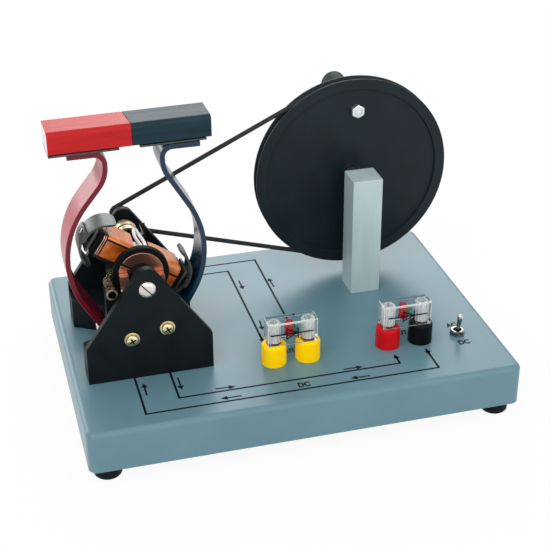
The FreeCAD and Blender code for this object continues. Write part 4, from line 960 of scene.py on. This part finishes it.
# printed circuit lines, arrows from tail to head, and words as (text, middle, width, height),
# all from the base's left front corner
printSettings = {
    "corner": (-118.65, -89.025), "wide": 1.2, "thick": 0.05, "sunk": 0.02, "bold": 0.045,
    "arrowLong": 3.8, "arrowHalf": 1.8, "arrowShaft": 0.8,
    "lines": [[(32, 45), (32, 11.3), (191.5, 11.3), (191.5, 29.5)],
              [(51.2, 45), (51.2, 21), (172.9, 21), (172.9, 27.5)],
              [(32.3, 122), (32.3, 155.7), (126.6, 155.7), (126.6, 48)],
              [(51.3, 122), (51.3, 146.2), (107.2, 146.2), (107.2, 62.5)]],
    "arrows": [((110.7, 132.5), (110.8, 122)), ((110.9, 84.2), (110.1, 74.2)),
               ((129.2, 120.4), (128.7, 131.2)), ((35.4, 28.2), (35.6, 39.2)),
               ((54.2, 39.3), (54.1, 28.1)), ((71.5, 23.9), (82.1, 23.4)),
               ((82.5, 14.2), (71.6, 14.4)), ((142.1, 23.4), (152.6, 23.2)),
               ((153, 13.9), (142.4, 14.2)), ((172.9, 22), (172.9, 30)),
               ((191.5, 30.5), (191.5, 24.5)), ((107.2, 70), (107.2, 61))],
    "words": [("DC", (117.1, 15.4), 6.6, 4.4), ("OUT", (117.8, 49.4), 8.2, 4.0),
              ("OUT", (183.6, 50.2), 8.2, 4.0), ("AC", (214.4, 50.3), 6.4, 4.4),
              ("DC", (214.5, 31.6), 6.4, 4.4)],
}


def addWord(text, middle, wide, tall, low, settings):
    # flat printed letters, stretched to the space they take
    clearSelection()
    bpy.ops.object.text_add()
    word = bpy.context.object
    word.data.body = text
    word.data.size = tall * mm
    word.data.extrude = 0.1 * mm
    word.data.offset = settings["bold"] * tall * mm
    bpy.ops.object.convert(target="MESH")
    word = bpy.context.object
    spots = [vertex.co.copy() for vertex in word.data.vertices]
    least, most = ([pick(spot[axis] for spot in spots) for axis in range(3)] for pick in (min, max))
    for vertex in word.data.vertices:
        across, along, up = ((at - start) / (end - start)
                             for at, start, end in zip(vertex.co, least, most))
        vertex.co = ((middle[0] + (across - 0.5) * wide) * mm, (middle[1] + (along - 0.5) * tall) * mm,
                     (low + up * settings["thick"]) * mm)
    return word


def circuitPrint(settings):
    left, front = settings["corner"]
    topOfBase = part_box("base_tray")[1].z / mm
    low, high = topOfBase - settings["sunk"], topOfBase + settings["thick"]
    half = settings["wide"] / 2
    marks = []

    def stroke(start, end, half):
        (x0, y0), (x1, y1) = start, end
        bar = addBlock((-half, -half, low), (math.hypot(x1 - x0, y1 - y0) + half, half, high))
        bar.rotation_euler.z = math.atan2(y1 - y0, x1 - x0)
        bar.location = (left + x0) * mm, (front + y0) * mm, 0
        marks.append(settle(bar))

    def spotOf(vertex):
        return round(vertex.co.x, 7), round(vertex.co.y, 7)

    def arrowTip(corners):
        # three-sided block whose corners are moved in turn
        clearSelection()
        bpy.ops.mesh.primitive_cylinder_add(vertices=3, radius=mm, depth=(high - low) * mm)
        tip = bpy.context.object
        spots = sorted({spotOf(vertex) for vertex in tip.data.vertices},
                       key=lambda spot: math.atan2(spot[1], spot[0]))
        for vertex in tip.data.vertices:
            corner = corners[spots.index(spotOf(vertex))]
            vertex.co.x = (left + corner.x) * mm
            vertex.co.y = (front + corner.y) * mm
            vertex.co.z = (low if vertex.co.z < 0 else high) * mm
        marks.append(tip)

    for line in settings["lines"]:
        for start, end in zip(line, line[1:]):
            stroke(start, end, half)
    for tail, head in settings["arrows"]:
        ahead = (Vector(head) - Vector(tail)).normalized()
        neck = Vector(head) - ahead * settings["arrowLong"]
        stroke(tail, neck, half * settings["arrowShaft"])
        across = Vector((-ahead.y, ahead.x)) * settings["arrowHalf"]
        arrowTip([Vector(head), neck + across, neck - across])
    for text, middle, wide, tall in settings["words"]:
        place = (left + middle[0], front + middle[1])
        marks.append(addWord(text, place, wide, tall, high - settings["thick"], settings))
    finishPiece(join(marks), "circuit_print", ["printInk"], body="frame", smooth=1)


circuitPrint(printSettings)
print("print laid on the base")


# a bright room: the floor glows to the eye almost as white as the world round it, and both light the part
# less than they show; lamps are in metres and watts
roomSettings = {
    "floor": "#f2f2f0", "floorSize": 6.0, "floorGlow": 0.93, "worldStrength": 0.66, "target": (0, 0, 0.07),
    "lamps": [
        {"name": "keyLamp", "place": (-0.7, -0.8, 1.4), "size": 1.2, "power": 10},
        {"name": "rimLamp", "place": (0.4, 1.5, 0.95), "size": 0.95, "power": 10},
        {"name": "edgeLamp", "place": (-0.95, 1.7, 0.45), "size": 0.9, "power": 8},
        {"name": "fillLamp", "place": (0.6, -1.5, 0.7), "size": 1.4, "power": 5},
    ],
}


def shownRays(tree):
    # 1 where the eye sees a surface, straight, through something clear or in a reflection
    path = addNode(tree, "ShaderNodeLightPath", {})
    shown = path.outputs["Is Camera Ray"]
    for ray in ("Is Transmission Ray", "Is Glossy Ray"):
        either = addNode(tree, "ShaderNodeMath", {"operation": "MAXIMUM", 0: shown, 1: path.outputs[ray]})
        shown = either.outputs[0]
    return shown


def makeWorld(settings):
    world = bpy.data.worlds.new("paleRoom")
    bpy.context.scene.world = world
    tree = emptyTree(world)
    strength = addNode(tree, "ShaderNodeMapRange", {
        "Value": shownRays(tree), "To Min": settings["worldStrength"], "To Max": 1.0})
    light = addNode(tree, "ShaderNodeBackground", {"Color": (1, 1, 1, 1), "Strength": strength.outputs[0]})
    addNode(tree, "ShaderNodeOutputWorld", {"Surface": light.outputs[0]})


def makeFloor(settings):
    clearSelection()
    bpy.ops.mesh.primitive_plane_add(size=settings["floorSize"], location=(0, 0, 0))
    floor = bpy.context.object
    floor.name = "floor"
    material = bpy.data.materials.new("paleFloor")
    tree = emptyTree(material)
    part = addNode(tree, "ShaderNodeMath", {
        "operation": "MULTIPLY", 0: shownRays(tree), 1: settings["floorGlow"]})
    board = addNode(tree, "ShaderNodeBsdfDiffuse", {"Color": colour(settings["floor"])})
    glow = addNode(tree, "ShaderNodeEmission", {"Color": (1, 1, 1, 1), "Strength": 1.0})
    mix = addNode(tree, "ShaderNodeMixShader", {
        0: part.outputs[0], 1: board.outputs[0], 2: glow.outputs[0]})
    addNode(tree, "ShaderNodeOutputMaterial", {"Surface": mix.outputs[0]})
    floor.data.materials.append(material)


def makeLamps(settings):
    for lamp in settings["lamps"]:
        data = bpy.data.lights.new(lamp["name"], "AREA")
        data.shape = "SQUARE"
        data.size = lamp["size"]
        data.energy = lamp["power"]
        holder = bpy.data.objects.new(lamp["name"], data)
        bpy.context.scene.collection.objects.link(holder)
        holder.location = lamp["place"]
        ahead = Vector(settings["target"]) - Vector(lamp["place"])
        holder.rotation_euler = ahead.to_track_quat("-Z", "Y").to_euler()


makeWorld(roomSettings)
makeFloor(roomSettings)
makeLamps(roomSettings)
bpy.context.scene.view_settings.view_transform = "Standard"
print("room and lamps made")

bpy.context.view_layer.update()
